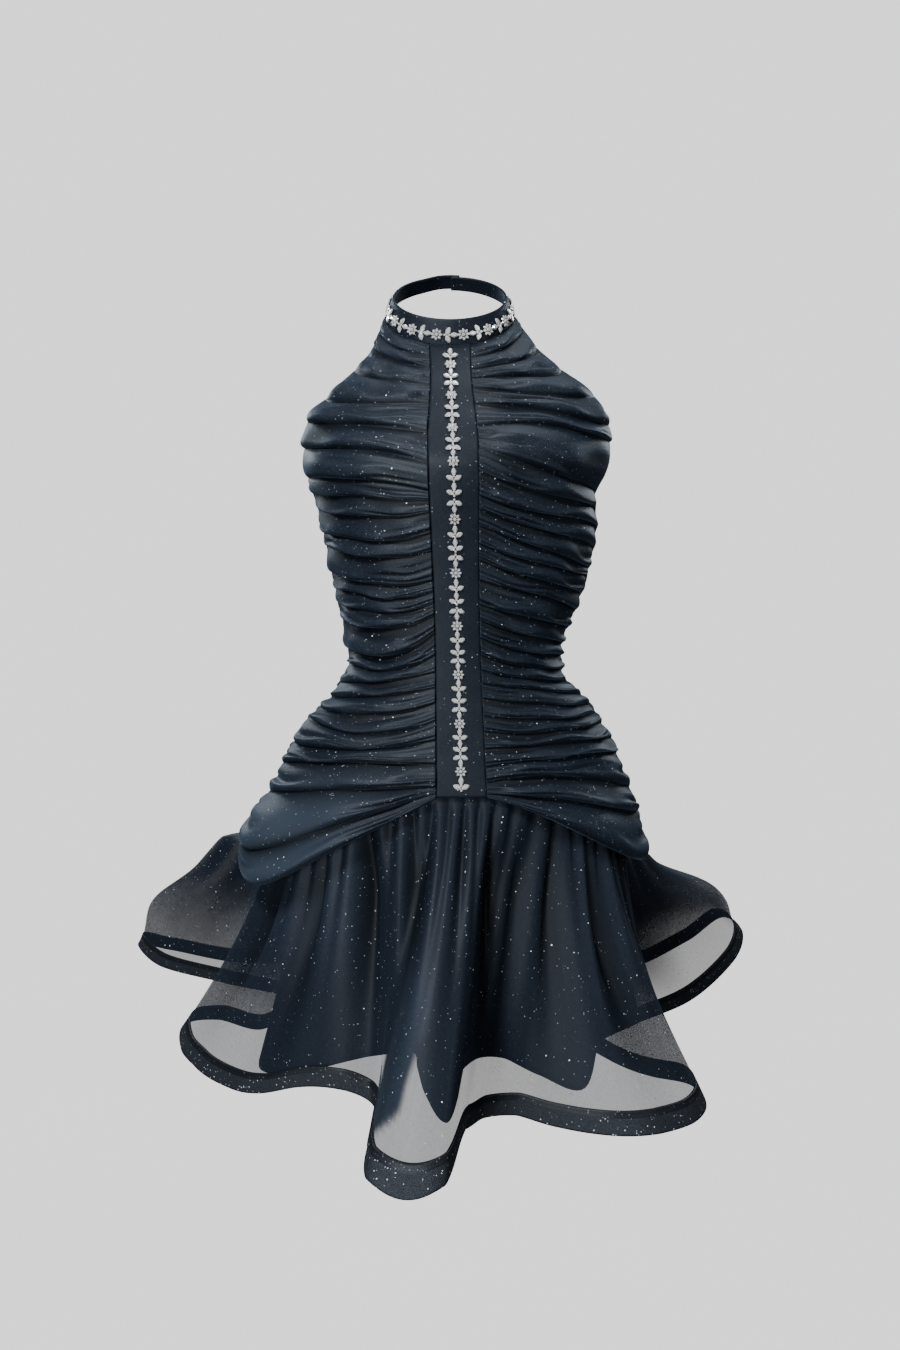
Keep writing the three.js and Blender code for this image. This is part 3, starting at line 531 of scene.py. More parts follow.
def gathered(rows, steps, columns, bunch, base, ease, habits, wide, deepen, tuck=0, drape=0.0):
    """Place function of a gathered panel: its folds, with finer gathers that
    start at the seams and run out. bunch draws the columns together at the
    first seam, tuck is the number of rows turned in under the neckband, and
    drape says how strongly painted light lightens the lowest folds. The
    marks also carry the painted shade in the fold valleys."""
    number, share = fold_steps(len(rows) - 1, steps)
    number = np.append(np.zeros(tuck, int), number)
    share = np.append(np.zeros(tuck), share)

    def place(column, row):
        u = (column / columns) ** bunch
        k, t = number[row], share[row]
        own = {key: column_of[k] for key, column_of in habits.items()}
        top, bottom = valley(rows, k, u), valley(rows, k + 1, u)
        stand = np.minimum(rows[k, 4], np.abs(top - bottom) * 0.5) * ease(u) * deepen
        s = np.clip(t, 0, 1) ** own["lean"]
        h = np.where((t <= 0) | (t >= 1), 0.0, np.sin(np.pi * np.clip(s, 0, 1)) ** 0.6)
        for n in range(3):
            line = 0.24 + 0.26 * n + own[f"shift{n}"] + own[f"drift{n}"] * u
            near = 1 - smooth(own[f"reach{n}"] * 0.4, own[f"reach{n}"], u)
            h = h * (1 - own[f"cut{n}"] * near * notch(t - line, 0.075))
        far = 1 - smooth(own["side_reach"] * 0.4, own["side_reach"], 1 - u)
        h = h * (1 - own["side_cut"] * far * notch(t - own["side_line"], 0.11))
        dent = notch(u - own["dent_at"], 0.12) * notch(t - own["middle"], 0.14)
        h = h * (1 - own["dent"] * dent)
        wave = own["wave"]
        h = h * (1 + 0.18 * waves(1.4 * u + wave) + 0.1 * waves(3.3 * u + 2 * wave))
        sag = 0.45 * stand * np.sin(np.pi * t)
        ripple = 2.2 * waves(2.1 * u + wave * 3) * np.sin(np.pi * u) * np.sin(np.pi * t)
        height = span(top, bottom, t) - sag + ripple
        height = np.where(row < tuck - 1, NECK_LEVEL + 2, height)
        out = np.where(row < tuck, TUCKED, WALL + stand * h)
        cloth = np.stack([u * wide, (k + t) * 0.024], axis=-1)
        # Painted shade, darkest deep in each fold valley, and painted light on the lowest folds, as
        # strong as drape says.
        low = smooth(len(rows) - 4.2, len(rows) - 2.6, k + t) * smooth(0.1, 0.5, u)
        marks = {"Painted valley shade": (1 - np.clip(h, 0, 1)) ** 1.6, "Painted drape light": drape * low}
        return base(u, height, out), cloth, marks
    return place


def fold_habits(count, seed, side_share=0.6):
    """Uneven gathers, a value per fold: how low its crest lies, the fine
    valleys that start at the centre seam and at the side, a dent, a wave."""
    r = np.random.default_rng(seed)

    def pick(least, most):
        return r.uniform(least, most, count)
    habits = {
        "lean": pick(1.1, 1.9), "middle": pick(0.4, 0.62), "dent": pick(0.0, 0.6),
        "dent_at": pick(0.2, 0.8), "wave": pick(0, 1), "side_line": pick(0.3, 0.65),
        "side_cut": pick(0.3, 0.9) * (r.random(count) < side_share),
        "side_reach": pick(0.1, 0.45),
    }
    for n in range(3):
        habits[f"shift{n}"] = pick(-0.06, 0.06)
        habits[f"drift{n}"] = pick(-0.25, 0.35)
        habits[f"cut{n}"] = pick(0.35, 0.95)
        habits[f"reach{n}"] = pick(0.08, 0.4) + (r.random(count) < 0.25) * pick(0.2, 0.6)
    habits["side_cut"][-4:] = 0.85
    habits["side_reach"][-4:] = 0.4
    return habits


def hem_columns(count):
    """Hem curve round the dress: angle, radius, drop, lining radius, lining
    drop and share of the length, for count columns and the first again."""
    n, parts = len(HEM), 24
    rows = []
    for i in range(n):
        a, b, d, e = (HEM[(i + j) % n] for j in (-1, 0, 1, 2))
        u = np.arange(parts)[:, None] / parts
        m0, m1 = (d - a) / 2, (e - b) / 2
        curve = ((2 * u ** 3 - 3 * u ** 2 + 1) * b + (u ** 3 - 2 * u ** 2 + u) * m0
                 + (3 * u ** 2 - 2 * u ** 3) * d + (u ** 3 - u ** 2) * m1)
        curve[:, 0] = span(b[0], d[0] + (360 if i + 1 >= n else 0), u[:, 0])
        rows.append(curve)
    fine = np.concatenate(rows)
    a = np.radians(fine[:, 0])
    xy = np.stack([fine[:, 1] * np.sin(a), -fine[:, 1] * np.cos(a)], axis=-1)
    step = np.linalg.norm(np.roll(xy, -1, axis=0) - xy, axis=1)
    back, ahead = xy - np.roll(xy, 4, axis=0), np.roll(xy, -4, axis=0) - xy
    turn = np.arctan2(ahead[:, 1], ahead[:, 0]) - np.arctan2(back[:, 1], back[:, 0])
    bend = np.abs(np.arctan2(np.sin(turn), np.cos(turn)))
    total = np.concatenate([[0], np.cumsum(step * (1 + 1.6 * bend))])
    length = np.concatenate([[0], np.cumsum(step)])
    want = np.linspace(0, total[-1], count + 1)
    closed = np.vstack([fine, fine[:1] + [360, 0, 0, 0, 0]])
    table = [np.interp(want, total, closed[:, c]) for c in range(5)]
    table.append(np.interp(want, total, length) / length[-1])
    return np.stack(table, axis=-1), length[-1]


def signed(deg):
    return (deg + 180) % 360 - 180


def body_radius(angle, z):
    sign = np.where(angle < 0, -1.0, 1.0)
    far = np.abs(angle)
    low = np.where(far <= 90, 0.0, 90.0)
    high = low + 90
    for _ in range(16):
        mid = (low + high) / 2
        p = round_base(sign * mid, z)
        less = np.degrees(np.arctan2(sign * p[..., 0], -p[..., 1])) < far
        low, high = np.where(less, mid, low), np.where(less, high, mid)
    p = round_base(sign * low, z)
    return np.hypot(p[..., 0], p[..., 1])


def fold_depth(turn, share):
    depth = 0.0
    for middle, wide, deep, lowest in SKIRT_FOLDS:
        off = signed(turn - middle) / wide
        fall = smooth(0, lowest, share) * (1 - 0.85 * smooth(lowest, 1, share))
        depth = depth + 1.35 * deep * np.exp(-off * off * 1.6) * fall
    return depth


def seam_angle(hem):
    """Angle at the hip seam from which a hem column hangs."""
    ring = signed(RING_START + 360 * hem[:, 5])
    return signed(ring + 0.25 * signed(hem[:, 0] - ring))


def small_gathers(top):
    pleat = np.radians(top)
    wavy = 0.5 + 0.5 * np.sin(57 * pleat + 2.2 * np.sin(7 * pleat) + 1.6 * np.sin(3 * pleat))
    return wavy ** 1.5


def skirt_painted_shade(hem, s):
    """How deep in its folds and gathers the skirt lies, from 0 to 1: the mask of the painted shade
    in the skirt's fold valleys.
    """
    top = seam_angle(hem)
    gathers = 0.4 * small_gathers(top) * (1 - smooth(0.1, 0.7, s))
    return np.clip(fold_depth(top, np.clip(s, 0, 1)) / 18 + gathers, 0, 1)


def skirt_point(hem, radius, drop, s, inset, fine):
    """Middle of a skirt layer: hem column, share of the way down (below 0 for
    the edge sewn in) and how far it starts inside the body cloth."""
    angle = hem[:, 0]
    top = seam_angle(hem)
    start = round_base(top, np.where(s < 0, SKIRT_TOP, SKIRT_LEAD))
    fall = np.clip(s, 0, 1)
    rear = smooth(82, 112, np.abs(top))
    flare = span(1.5, np.where(top < 0, 0.68, 1.35), rear)
    swell = np.where(top < 0, 0.11, 0.17) * rear
    w = fall ** flare + swell * np.sin(np.pi * smooth(0.46, 1, fall))
    a = np.radians(angle)
    z = np.where(s < 0, SKIRT_TOP, span(SKIRT_LEAD, HEM_DATUM + drop, s))
    inside = 1 - inset / np.hypot(start[:, 0], start[:, 1])
    x = span(start[:, 0] * inside, radius * np.sin(a), w)
    y = span(start[:, 1] * inside, -radius * np.cos(a), w)
    small = fine * small_gathers(top) * (smooth(-0.01, 0.05, s) * (1 - smooth(0.1, 0.75, s)) + 0.12)
    gather = 1 - (fold_depth(top, fall) + small) / np.hypot(x, y)
    x, y = x * gather, y * gather
    true = np.degrees(np.arctan2(x, -y))
    edge = np.interp(true, DRAPE_EDGE[:, 0], DRAPE_EDGE[:, 1])
    free = smooth(0, 26, edge - z)
    most = body_radius(true, np.maximum(z, -582)) - inset
    r = np.hypot(x, y)
    k = np.where(r > most, span(most, r, free) / r, 1.0)
    return point(x * k, y * k, z)


def folded_mesh(hem, s):
    """Extra cover of the mesh where its small folds lie on each other: in the
    wings, on the left of the front fall, at the flanks and in streaks."""
    angle = signed(hem[:, 0])
    streak = 0.5 + 0.5 * np.sin(1.9 * angle + 1.5 * np.sin(0.7 * angle) + 2 * np.sin(4 * s))
    wing = np.exp(-((np.abs(angle + 1.5) - 123) / 12) ** 2)
    upper = 1 - smooth(0.6, 0.98, s + 0.25 * streak)
    cover = wing * upper * (np.where(angle > 0, 0.62, 0.2) + 0.55 * streak ** 1.5)
    far = np.abs(angle)
    flank = smooth(38, 56, far) * (1 - smooth(98, 114, far)) * (1 - smooth(0.4, 0.74, s))
    edge = -7.5 - 2.5 * smooth(0.6, 0.8, s) - 6 * smooth(0.82, 0.96, s)
    fall = smooth(-21, -17.5, angle) * (1 - smooth(edge - 2.5, edge, angle)) * smooth(0.4, 0.6, s)
    gathers = 0.22 * streak ** 3 * (1 - smooth(0.3, 0.95, s))
    return np.clip(cover + 0.7 * flank + fall * (0.8 + 0.2 * streak) + gathers, 0, 1)


def skirt_layer(name, columns, stops, radius, drop, inset, fine, sheer=False):
    hem, length = hem_columns(columns)
    stops = np.asarray(stops, float)

    def place(column, row):
        h, s = hem[column], stops[row]
        p = skirt_point(h, h[:, radius], h[:, drop], s, inset, fine)
        cloth = np.stack([h[:, 5] * length, s * SKIRT_LENGTH], axis=-1) * MM
        # Mask of the painted shade in the skirt's fold valleys.
        marks = {"Painted valley shade": skirt_painted_shade(h, s)}
        if sheer:
            marks["Folded"] = folded_mesh(h, s)
        return p, cloth, marks
    return grid_mesh(name, columns, len(stops) - 1, place, ring=True)


# Finishes

class Value:
    """A shader value that takes part in sums."""

    def __init__(self, finish, socket):
        self.finish = finish
        self.socket = socket

    def sum(self, operation, a, b=0.0):
        node = self.finish.add("ShaderNodeMath", {"operation": operation}, {0: a, 1: b})
        return Value(self.finish, node.outputs[0])

    def __add__(self, other):
        return self.sum("ADD", self, other)

    def __radd__(self, other):
        return self.sum("ADD", other, self)

    def __sub__(self, other):
        return self.sum("SUBTRACT", self, other)

    def __rsub__(self, other):
        return self.sum("SUBTRACT", other, self)

    def __mul__(self, other):
        return self.sum("MULTIPLY", self, other)

    def __rmul__(self, other):
        return self.sum("MULTIPLY", other, self)

    def __lt__(self, other):
        return self.sum("LESS_THAN", self, other)

    def __gt__(self, other):
        return self.sum("GREATER_THAN", self, other)

    def sine(self):
        return self.sum("SINE", self)

    def size(self):
        return self.sum("ABSOLUTE", self)


class Finish:
    """A material that is put together from nodes."""

    def __init__(self, name):
        self.material = bpy.data.materials.new(name)
        self.material.use_nodes = True
        self.tree = self.material.node_tree
        self.tree.nodes.clear()

    def add(self, kind, settings=None, values=None):
        node = self.tree.nodes.new(kind)
        for key, value in (settings or {}).items():
            setattr(node, key, value)
        for key, value in (values or {}).items():
            socket = node.inputs[key]
            if isinstance(value, Value):
                self.tree.links.new(value.socket, socket)
            elif isinstance(value, bpy.types.NodeSocket):
                self.tree.links.new(value, socket)
            else:
                socket.default_value = value
        return node

    def value(self, node, output=0):
        return Value(self, node.outputs[output])

    def place(self):
        return self.add("ShaderNodeTexCoord").outputs["Object"]

    def cloth_place(self):
        """Place on the flat cloth in metres, as two values."""
        uv = self.add("ShaderNodeUVMap", {"uv_map": "Cloth"})
        parts = self.add("ShaderNodeSeparateXYZ", None, {0: uv.outputs[0]})
        return self.value(parts, 0), self.value(parts, 1)

    def mark(self, name):
        """Value that the mesh carries at its points."""
        return self.value(self.add("ShaderNodeAttribute", {"attribute_name": name}), "Fac")

    def noise(self, scale, detail=2.0):
        return self.value(self.add("ShaderNodeTexNoise", None, {
            "Vector": self.place(), "Scale": scale, "Detail": detail, "Roughness": 0.5}))

    def specks(self, scale, radius, share):
        """Brightness inside small dots scattered over a share of the cells."""
        node = self.add("ShaderNodeTexVoronoi", {"feature": "F1"}, {
            "Vector": self.place(), "Scale": scale, "Randomness": 1.0})
        pick = self.add("ShaderNodeSeparateColor", None, {0: node.outputs["Color"]})
        large = self.value(pick, 1)
        inside = self.value(node, "Distance") < radius * (0.45 + large * 0.75)
        chosen = self.value(pick, 0) < share
        return inside * chosen * (large * 0.6 + 0.4)

    def mix(self, factor, first, second):
        node = self.add("ShaderNodeMix", {"data_type": "RGBA"}, {0: factor, 6: first, 7: second})
        return node.outputs[2]

    def bump(self, height, distance, strength=1.0):
        node = self.add("ShaderNodeBump", None, {
            "Height": height, "Distance": distance, "Strength": strength})
        return node.outputs[0]

    def surface(self, **values):
        names = {key.replace("_", " "): value for key, value in values.items()}
        shader = self.add("ShaderNodeBsdfPrincipled", None, names)
        self.add("ShaderNodeOutputMaterial", None, {"Surface": shader.outputs[0]})
        return self.material


def tint(colour, k=1.0):
    return (colour[0] * k, colour[1] * k, colour[2] * k, 1.0)


def knit_finish(name, cloth, light, glitter=1.0, shine=1.0):
    """Fine stretch knit with a satin face and scattered glitter, painted shade in its fold valleys
    and painted light on the lowest folds of the drape.
    """
    f = Finish(name)
    across, down = f.cloth_place()
    loops = (across * 5600.0).sine() * (down * 4200.0).sine()
    cloudy = f.noise(38.0)
    grain = f.noise(900.0, 1.0)
    base = f.mix(cloudy * 1.3 - 0.15, tint(cloth, 0.75), tint(cloth, 1.25))
    base = f.mix(grain * 2.2 - 0.95, base, tint(light))
    # Painted light on the lowest folds of the drape, then painted shade in the fold valleys.
    base = f.mix(f.mark("Painted drape light"), base, tint(light))
    base = f.mix(f.mark("Painted valley shade") * 0.95, base, tint(cloth, 0.1))
    dust = f.specks(560.0, 0.3, 0.09 * glitter) * 0.3
    stars = f.specks(150.0, 0.1, 0.2 * glitter)
    base = f.mix(dust + stars, base, (0.85, 0.9, 0.95, 1.0))
    return f.surface(
        Base_Color=base, Roughness=0.46, Specular_IOR_Level=0.24 * shine,
        Sheen_Weight=0.11 * shine, Sheen_Roughness=0.4, Sheen_Tint=(0.5, 0.72, 1.0, 1.0),
        Normal=f.bump(loops * 0.4 + grain, 0.0002, 0.5))


def mesh_finish(name, colours):
    """Sheer mesh that is seen through, with glitter, and painted shade in its fold valleys that
    darkens it and adds cover.
    """
    f = Finish(name)
    grain = f.noise(420.0, 1.0)
    stars = f.specks(150.0, 0.1, 0.22) + f.specks(520.0, 0.3, 0.06) * 0.3
    valley = f.mark("Painted valley shade")
    base = f.mix(grain, tint(colours.mesh, 0.8), tint(colours.mesh, 1.6))
    # Painted shade: darker in the fold valleys.
    base = f.mix(valley * 0.9, base, tint(colours.mesh, 0.15))
    base = f.mix(stars, base, (0.85, 0.9, 0.95, 1.0))
    # Cover: the mesh's own, its grain, its layers where small folds lie on each other, more in the
    # fold valleys as painted shade, and glitter.
    solid = (colours.mesh_cover + 0.08 * (grain - 0.5) + f.mark("Folded") * 0.6
             + valley * 0.15 + stars)
    return f.surface(
        Base_Color=base, Roughness=0.5, Alpha=solid, Specular_IOR_Level=0.2,
        Sheen_Weight=0.05, Sheen_Roughness=0.4, Sheen_Tint=(0.6, 0.75, 0.95, 1.0))


def lining_finish(name, colours):
    """Opaque dark layer under the mesh, with painted shade in its fold valleys."""
    f = Finish(name)
    cloudy = f.noise(26.0)
    base = f.mix(cloudy, tint(colours.lining, 0.9), tint(colours.lining, 1.6))
    # Painted shade: darker in the fold valleys.
    base = f.mix(f.mark("Painted valley shade") * 0.9, base, tint(colours.lining, 0.15))
    base = f.mix(f.specks(520.0, 0.3, 0.08) * 0.25, base, (0.6, 0.66, 0.75, 1.0))
    return f.surface(
        Base_Color=base, Roughness=0.42, Specular_IOR_Level=0.28, Sheen_Weight=0.1,
        Sheen_Roughness=0.35, Sheen_Tint=(0.5, 0.68, 0.95, 1.0))


def braid_finish(name, colours):
    """Stiff braid: a plain dark border above, a woven glittering one below,
    and a line of stitches in the border."""
    f = Finish(name)
    across, down = f.cloth_place()
    hem = SKIRT_LENGTH * MM
    lower = down > hem - 0.0145
    cross_weave = ((across + down) * 3300.0).sine() * ((across - down) * 3300.0).sine()
    stitch = ((across * 2000.0).sine() > 0.1) * ((down - (hem - 0.0165)).size() < 0.0005)
    grain = f.noise(1100.0, 1.0)
    base = f.mix(lower, tint(colours.braid_border), tint(colours.braid))
    base = f.mix(lower * (grain * 1.6 - 0.5), base, tint(colours.braid_light))
    base = f.mix(stitch * 0.5, base, tint(colours.braid_light, 0.6))
    spark = f.specks(480.0, 0.26, 0.22) * (lower * 0.8 + 0.2)
    base = f.mix(spark, base, (0.75, 0.78, 0.82, 1.0))
    return f.surface(
        Base_Color=base, Roughness=0.5, Specular_IOR_Level=0.35,
        Normal=f.bump(cross_weave * 0.6 * lower + grain, 0.0004, 0.6))


def stone_finish(name):
    """Cut glass on a silver back."""
    f = Finish(name)
    tone = f.noise(150.0, 1.0)
    base = f.mix(tone * 1.4 - 0.2, (0.95, 0.95, 0.97, 1.0), (0.84, 0.74, 0.64, 1.0))
    return f.surface(
        Base_Color=base, Metallic=0.35, Roughness=0.08 + 0.1 * tone,
        Coat_Weight=1.0, Coat_Roughness=0.03, Specular_IOR_Level=0.9)


def silver_finish(name):
    """Silver cups that hold the stones."""
    f = Finish(name)
    worn = f.noise(420.0)
    base = f.mix(worn, (0.3, 0.29, 0.28, 1.0), (0.6, 0.58, 0.55, 1.0))
    return f.surface(Base_Color=base, Metallic=1.0, Roughness=0.25 + 0.15 * worn)


def plain_finish(name, colour, glow):
    """Pale paper that shows the same tone all over."""
    f = Finish(name)
    soft = f.noise(2.0)
    base = f.mix(soft, tint(colour, 0.995), tint(colour, 1.005))
    made = f.surface(Base_Color=(0, 0, 0, 1), Roughness=1.0, Specular_IOR_Level=0.0,
                     Emission_Color=base, Emission_Strength=glow)
    made.cycles.emission_sampling = "NONE"
    return made


# Pieces

def cut_stone(bm, place, across, up, turn, length, width, height):
    """One pointed or round stone in its cup, laid through place(x, y, out)."""
    verts = bmesh.ops.create_circle(bm, cap_ends=True, segments=8, radius=1.0)["verts"]
    face = verts[0].link_faces[0]
    rings = [verts]
    # Width and height of each ring, as shares of the stone's: foot, girdle
    # and table.
    shapes = [(0.9, 0.0), (1.0, 0.45), (0.62, 1.0)]
    pointed = 0.34 if length > width * 1.2 else 0.0
    for _ in shapes[1:]:
        grown = bmesh.ops.extrude_face_region(bm, geom=[face])
        ring = [g for g in grown["geom"] if isinstance(g, bmesh.types.BMVert)]
        face = [g for g in grown["geom"] if isinstance(g, bmesh.types.BMFace)][0]
        rings.append(ring)
    a = math.radians(turn)
    for ring, (grow, share) in zip(rings, shapes):
        for v in ring:
            x, y = v.co.x, v.co.y
            narrow = 1 - pointed * abs(y) ** 1.8
            x, y = x * narrow * grow * width / 2, y * grow * length / 2
            px = across + x * math.cos(a) - y * math.sin(a)
            py = up + x * math.sin(a) + y * math.cos(a)
            v.co = Vector(place(px, py, height * share) * MM)
    for f in {f for v in verts for f in v.link_faces}:
        f.material_index = 1


def stone_row(name, motifs, node):
    """All stones of one trim. Each motif: its stones and its place."""
    bm = bmesh.new()
    for stones, place in motifs:
        for stone in stones:
            cut_stone(bm, place, *stone)
    mesh = outward_mesh(name, bm)
    piece(name, mesh, ["cut stones", "silver cups"], node)
    shade(mesh, False)


def turned(stones):
    return [[-x, -y, a + 180, l, w, h] for x, y, a, l, w, h in stones]


def shrunk(stones, k):
    return [[x * k, y * k, a, l * k, w * k, h] for x, y, a, l, w, h in stones]


def colour(name, description, default):
    return bpy.props.FloatVectorProperty(
        name=name, description=description, default=default, subtype="COLOR", min=0, max=1)


def millimetres(name, description, default, least, most):
    return bpy.props.FloatProperty(
        name=name, description=description + " in millimetres", default=default,
        min=least, max=most)


class DressColours(bpy.types.PropertyGroup):
    """Colours of the dress."""

    knit: colour("Knit", "Gathered cloth of the bodice", (0.0072, 0.0102, 0.0166))
    # Colour of the light grains in the knit, and of the painted light on the lowest folds of the
    # drape.
    knit_grain_and_drape_light: colour("Knit sparkle", "Light grains in the knit", (0.036, 0.046, 0.062))
    band: colour("Band", "Smooth cloth of the neckband and centre strip",
                 (0.008, 0.0098, 0.0145))
    mesh: colour("Mesh", "Sheer skirt", (0.0148, 0.0195, 0.0295))
    mesh_cover: bpy.props.FloatProperty(
        name="Mesh cover", description="How much of the view one face of the mesh covers",
        subtype="FACTOR", default=0.47, min=0, max=1)
    lining: colour("Underskirt", "Opaque layer under the mesh", (0.0066, 0.0098, 0.016))
    braid: colour("Braid", "Woven part of the hem braid", (0.0085, 0.0097, 0.0128))
    braid_light: colour("Braid sparkle", "Light threads of the braid", (0.047, 0.052, 0.064))
    braid_border: colour("Braid border", "Dark upper border of the braid", (0.006, 0.007, 0.01))


class DressSizes(bpy.types.PropertyGroup):
    """Sizes of the cloth pieces."""

    fold_rows: bpy.props.IntProperty(
        name="Rows per fold", description="Rows of faces over one gathered fold",
        default=17, min=4, max=20)
    fold_depth: bpy.props.FloatProperty(
        name="Fold depth", description="How much deeper the folds stand than their table says",
        subtype="FACTOR", default=1.25, min=0.5, max=2)
    cloth_wall: millimetres("Cloth", "Thickness of the gathered cloth", 1.1, 0.5, 3)
    mesh_wall: millimetres("Mesh", "Thickness of the sheer mesh", 0.5, 0.3, 2)
    braid_wall: millimetres("Braid", "Thickness of the hem braid", 2.2, 1, 3)
    gather_depth: millimetres("Fine gathers", "Depth of the small pleats at the hip seam",
                              3.4, 0, 5)
    camera_height: bpy.props.FloatProperty(
        name="Camera height", description="Height of the camera in the part's frame",
        subtype="DISTANCE", unit="LENGTH", default=-0.368)
    camera_distance: bpy.props.FloatProperty(
        name="Camera distance", description="From the dress's axis to the camera",
        subtype="DISTANCE", unit="LENGTH", default=1.1, min=0.5)


class DRESS_OT_finishes(bpy.types.Operator):
    """Makes the cloth, stone and braid finishes"""

    bl_idname = "dress.add_finishes"
    bl_label = "Add finishes"

    def execute(self, context):
        colours = context.scene.dress_colours
        knit_finish("glitter knit", colours.knit, colours.knit_grain_and_drape_light)
        knit_finish("band cloth", colours.band, tint(colours.band, 2.2), glitter=0.5, shine=0.7)
        mesh_finish("sheer mesh", colours)
        lining_finish("underskirt cloth", colours)
        braid_finish("hem braid", colours)
        stone_finish("cut stones")
        silver_finish("silver cups")
        return {"FINISHED"}


class DRESS_OT_neckband(bpy.types.Operator):
    """Adds the neckband with its overlap and button"""

    bl_idname = "dress.add_neckband"
    bl_label = "Add neckband"

    def execute(self, context):
        around, columns = 20, 180
        turn = np.arange(around + 1) / around * 2 * np.pi

        def place(column, row):
            angle = span(-180 - BAND_OVERLAP, 179.0, column / columns)
            middle, rise, face, height = band_frame(angle)
            # One end lies on the other, and comes down from it by and by.
            lift = (BAND_WALL + 2 * SEAM) * (1 - smooth(-176, -150, angle))
            c, s = np.cos(turn[row]), np.sin(turn[row])
            # A rounded strip: flat faces and full edges.
            along_up = np.sign(c) * np.abs(c) ** 0.35 * height / 2
            out = np.sign(s) * np.abs(s) ** 0.6 * BAND_WALL / 2
            stitched = 0.25 * np.exp(-((np.abs(along_up) - height / 2 + 2.6) / 0.5) ** 2)
            out = out * (1 - stitched)
            p = middle + rise * along_up[:, None] + face * (out + lift)[:, None]
            return p, np.stack([angle / 360 * BAND_GIRTH, along_up], axis=-1) * MM
        mesh = grid_mesh("neckband_cloth", columns, around, place, ring=True)
        bm = bmesh.new()
        bm.from_mesh(mesh)
        rim = [e for e in bm.edges if e.is_boundary]
        bmesh.ops.holes_fill(bm, edges=rim, sides=0)
        bmesh.ops.recalc_face_normals(bm, faces=bm.faces)
        bm.to_mesh(mesh)
        bm.free()
        band = piece("neckband_cloth", mesh, ["band cloth"], "neckband")
        self.button()
        return {"FINISHED"}

    def button(self):
        middle, rise, face, _ = (v[0] for v in band_frame(np.array([180.0])))
        floor = BAND_WALL * 1.5 + 3 * SEAM
        across = np.cross(face, rise)
        bm = bmesh.new()
        bmesh.ops.create_uvsphere(bm, u_segments=28, v_segments=18, radius=1.0)
        for v in bm.verts:
            x, y, z = v.co
            # Rounded outside, flat toward the band.
            crown = z if z > 0 else z * 0.25
            p = (middle + across * x * BUTTON_RADIUS + rise * y * BUTTON_RADIUS
                 + face * (floor + 0.8 + crown * 2.6))
            v.co = Vector(p * MM)
        mesh = outward_mesh("neck_button_cloth", bm)
        mesh.uv_layers.new(name="Cloth")
        piece("neck_button_cloth", mesh, ["band cloth"], "neck_button")


class DRESS_OT_trims(bpy.types.Operator):
    """Adds the rows of stones on the neckband and down the centre front"""

    bl_idname = "dress.add_trims"
    bl_label = "Add stone trims"

    def execute(self, context):
        stone_row("centre_stones", self.centre_motifs(), "centre_trim")
        stone_row("neck_stones", self.neck_motifs(), "neck_trim")
        return {"FINISHED"}

    def centre_motifs(self):
        def at(height):
            def place(x, y, out):
                z = height + y
                return strip_point(x / strip_half(z), z, WALL + SEAM + out)
            return place
        motifs = []
        for above, z in zip([NECK_LEVEL, *FLOWER_HEIGHTS], FLOWER_HEIGHTS):
            leaves = round((above - z) / LEAF_PITCH) - 1
            step = (above - z) / (leaves + 1)
            motifs.append((shrunk(BLOSSOM, CENTRE_SCALE), at(z)))
            for n in range(1, leaves + 1):
                stones = turned(LEAF) if n <= leaves / 2 else LEAF
                motifs.append((shrunk(stones, CENTRE_SCALE), at(z + n * step)))
        motifs.append((shrunk(LEAF, NECK_SCALE), at(LAST_LEAF)))
        return motifs

    def neck_motifs(self):
        def at(angle):
            def place(x, y, out):
                a = np.array([angle + y / BAND_RADIUS * 180 / math.pi])
                middle, rise, face, _ = (v[0] for v in band_frame(a))
                line = span(-0.5, -3, (1 + math.cos(math.radians(a[0]))) / 2)
                return middle + rise * (line - x) + face * (BAND_WALL / 2 + SEAM + out)
            return place
        motifs = []
        for i in range(NECK_MOTIFS):
            angle = span(-132, 132, i / (NECK_MOTIFS - 1))
            stones = LEAF if i % 2 else BLOSSOM
            if i > NECK_MOTIFS / 2:
                stones = turned(stones)
            motifs.append((shrunk(stones, NECK_SCALE), at(angle)))
        return motifs


class DRESS_OT_centre_front(bpy.types.Operator):
    """Adds the smooth strip down the centre front"""

    bl_idname = "dress.add_centre_front"
    bl_label = "Add centre front"

    def execute(self, context):
        columns, rows = 44, 150

        def place(column, row):
            # The seams are at v = -1 and 1, and the cloth goes on under the
            # fronts. The first two rows are turned in under the neckband.
            v = (column / columns * 2 - 1) * 1.22
            height = span(NECK_LEVEL - 0.2, HIP_SEAM, np.maximum(row - 2, 0) / (rows - 2))
            height = np.where(row == 0, NECK_LEVEL + 2, height)
            pull = 0.35 * np.sin(height / 5.5 + 2 * np.sin(height / 31)) * np.abs(v) ** 3
            out = span(WALL + pull, TURNED_UNDER, smooth(0.96, 1.05, np.abs(v)))
            out = np.where(row < 2, TUCKED, out)
            return strip_point(v, height, out), np.stack([v * 21, height], axis=-1) * MM
        mesh = grid_mesh("centre_front_cloth", columns, rows, place)
        strip = piece("centre_front_cloth", mesh, ["band cloth"], "centre_front",
                      wall=1.8)
        return {"FINISHED"}


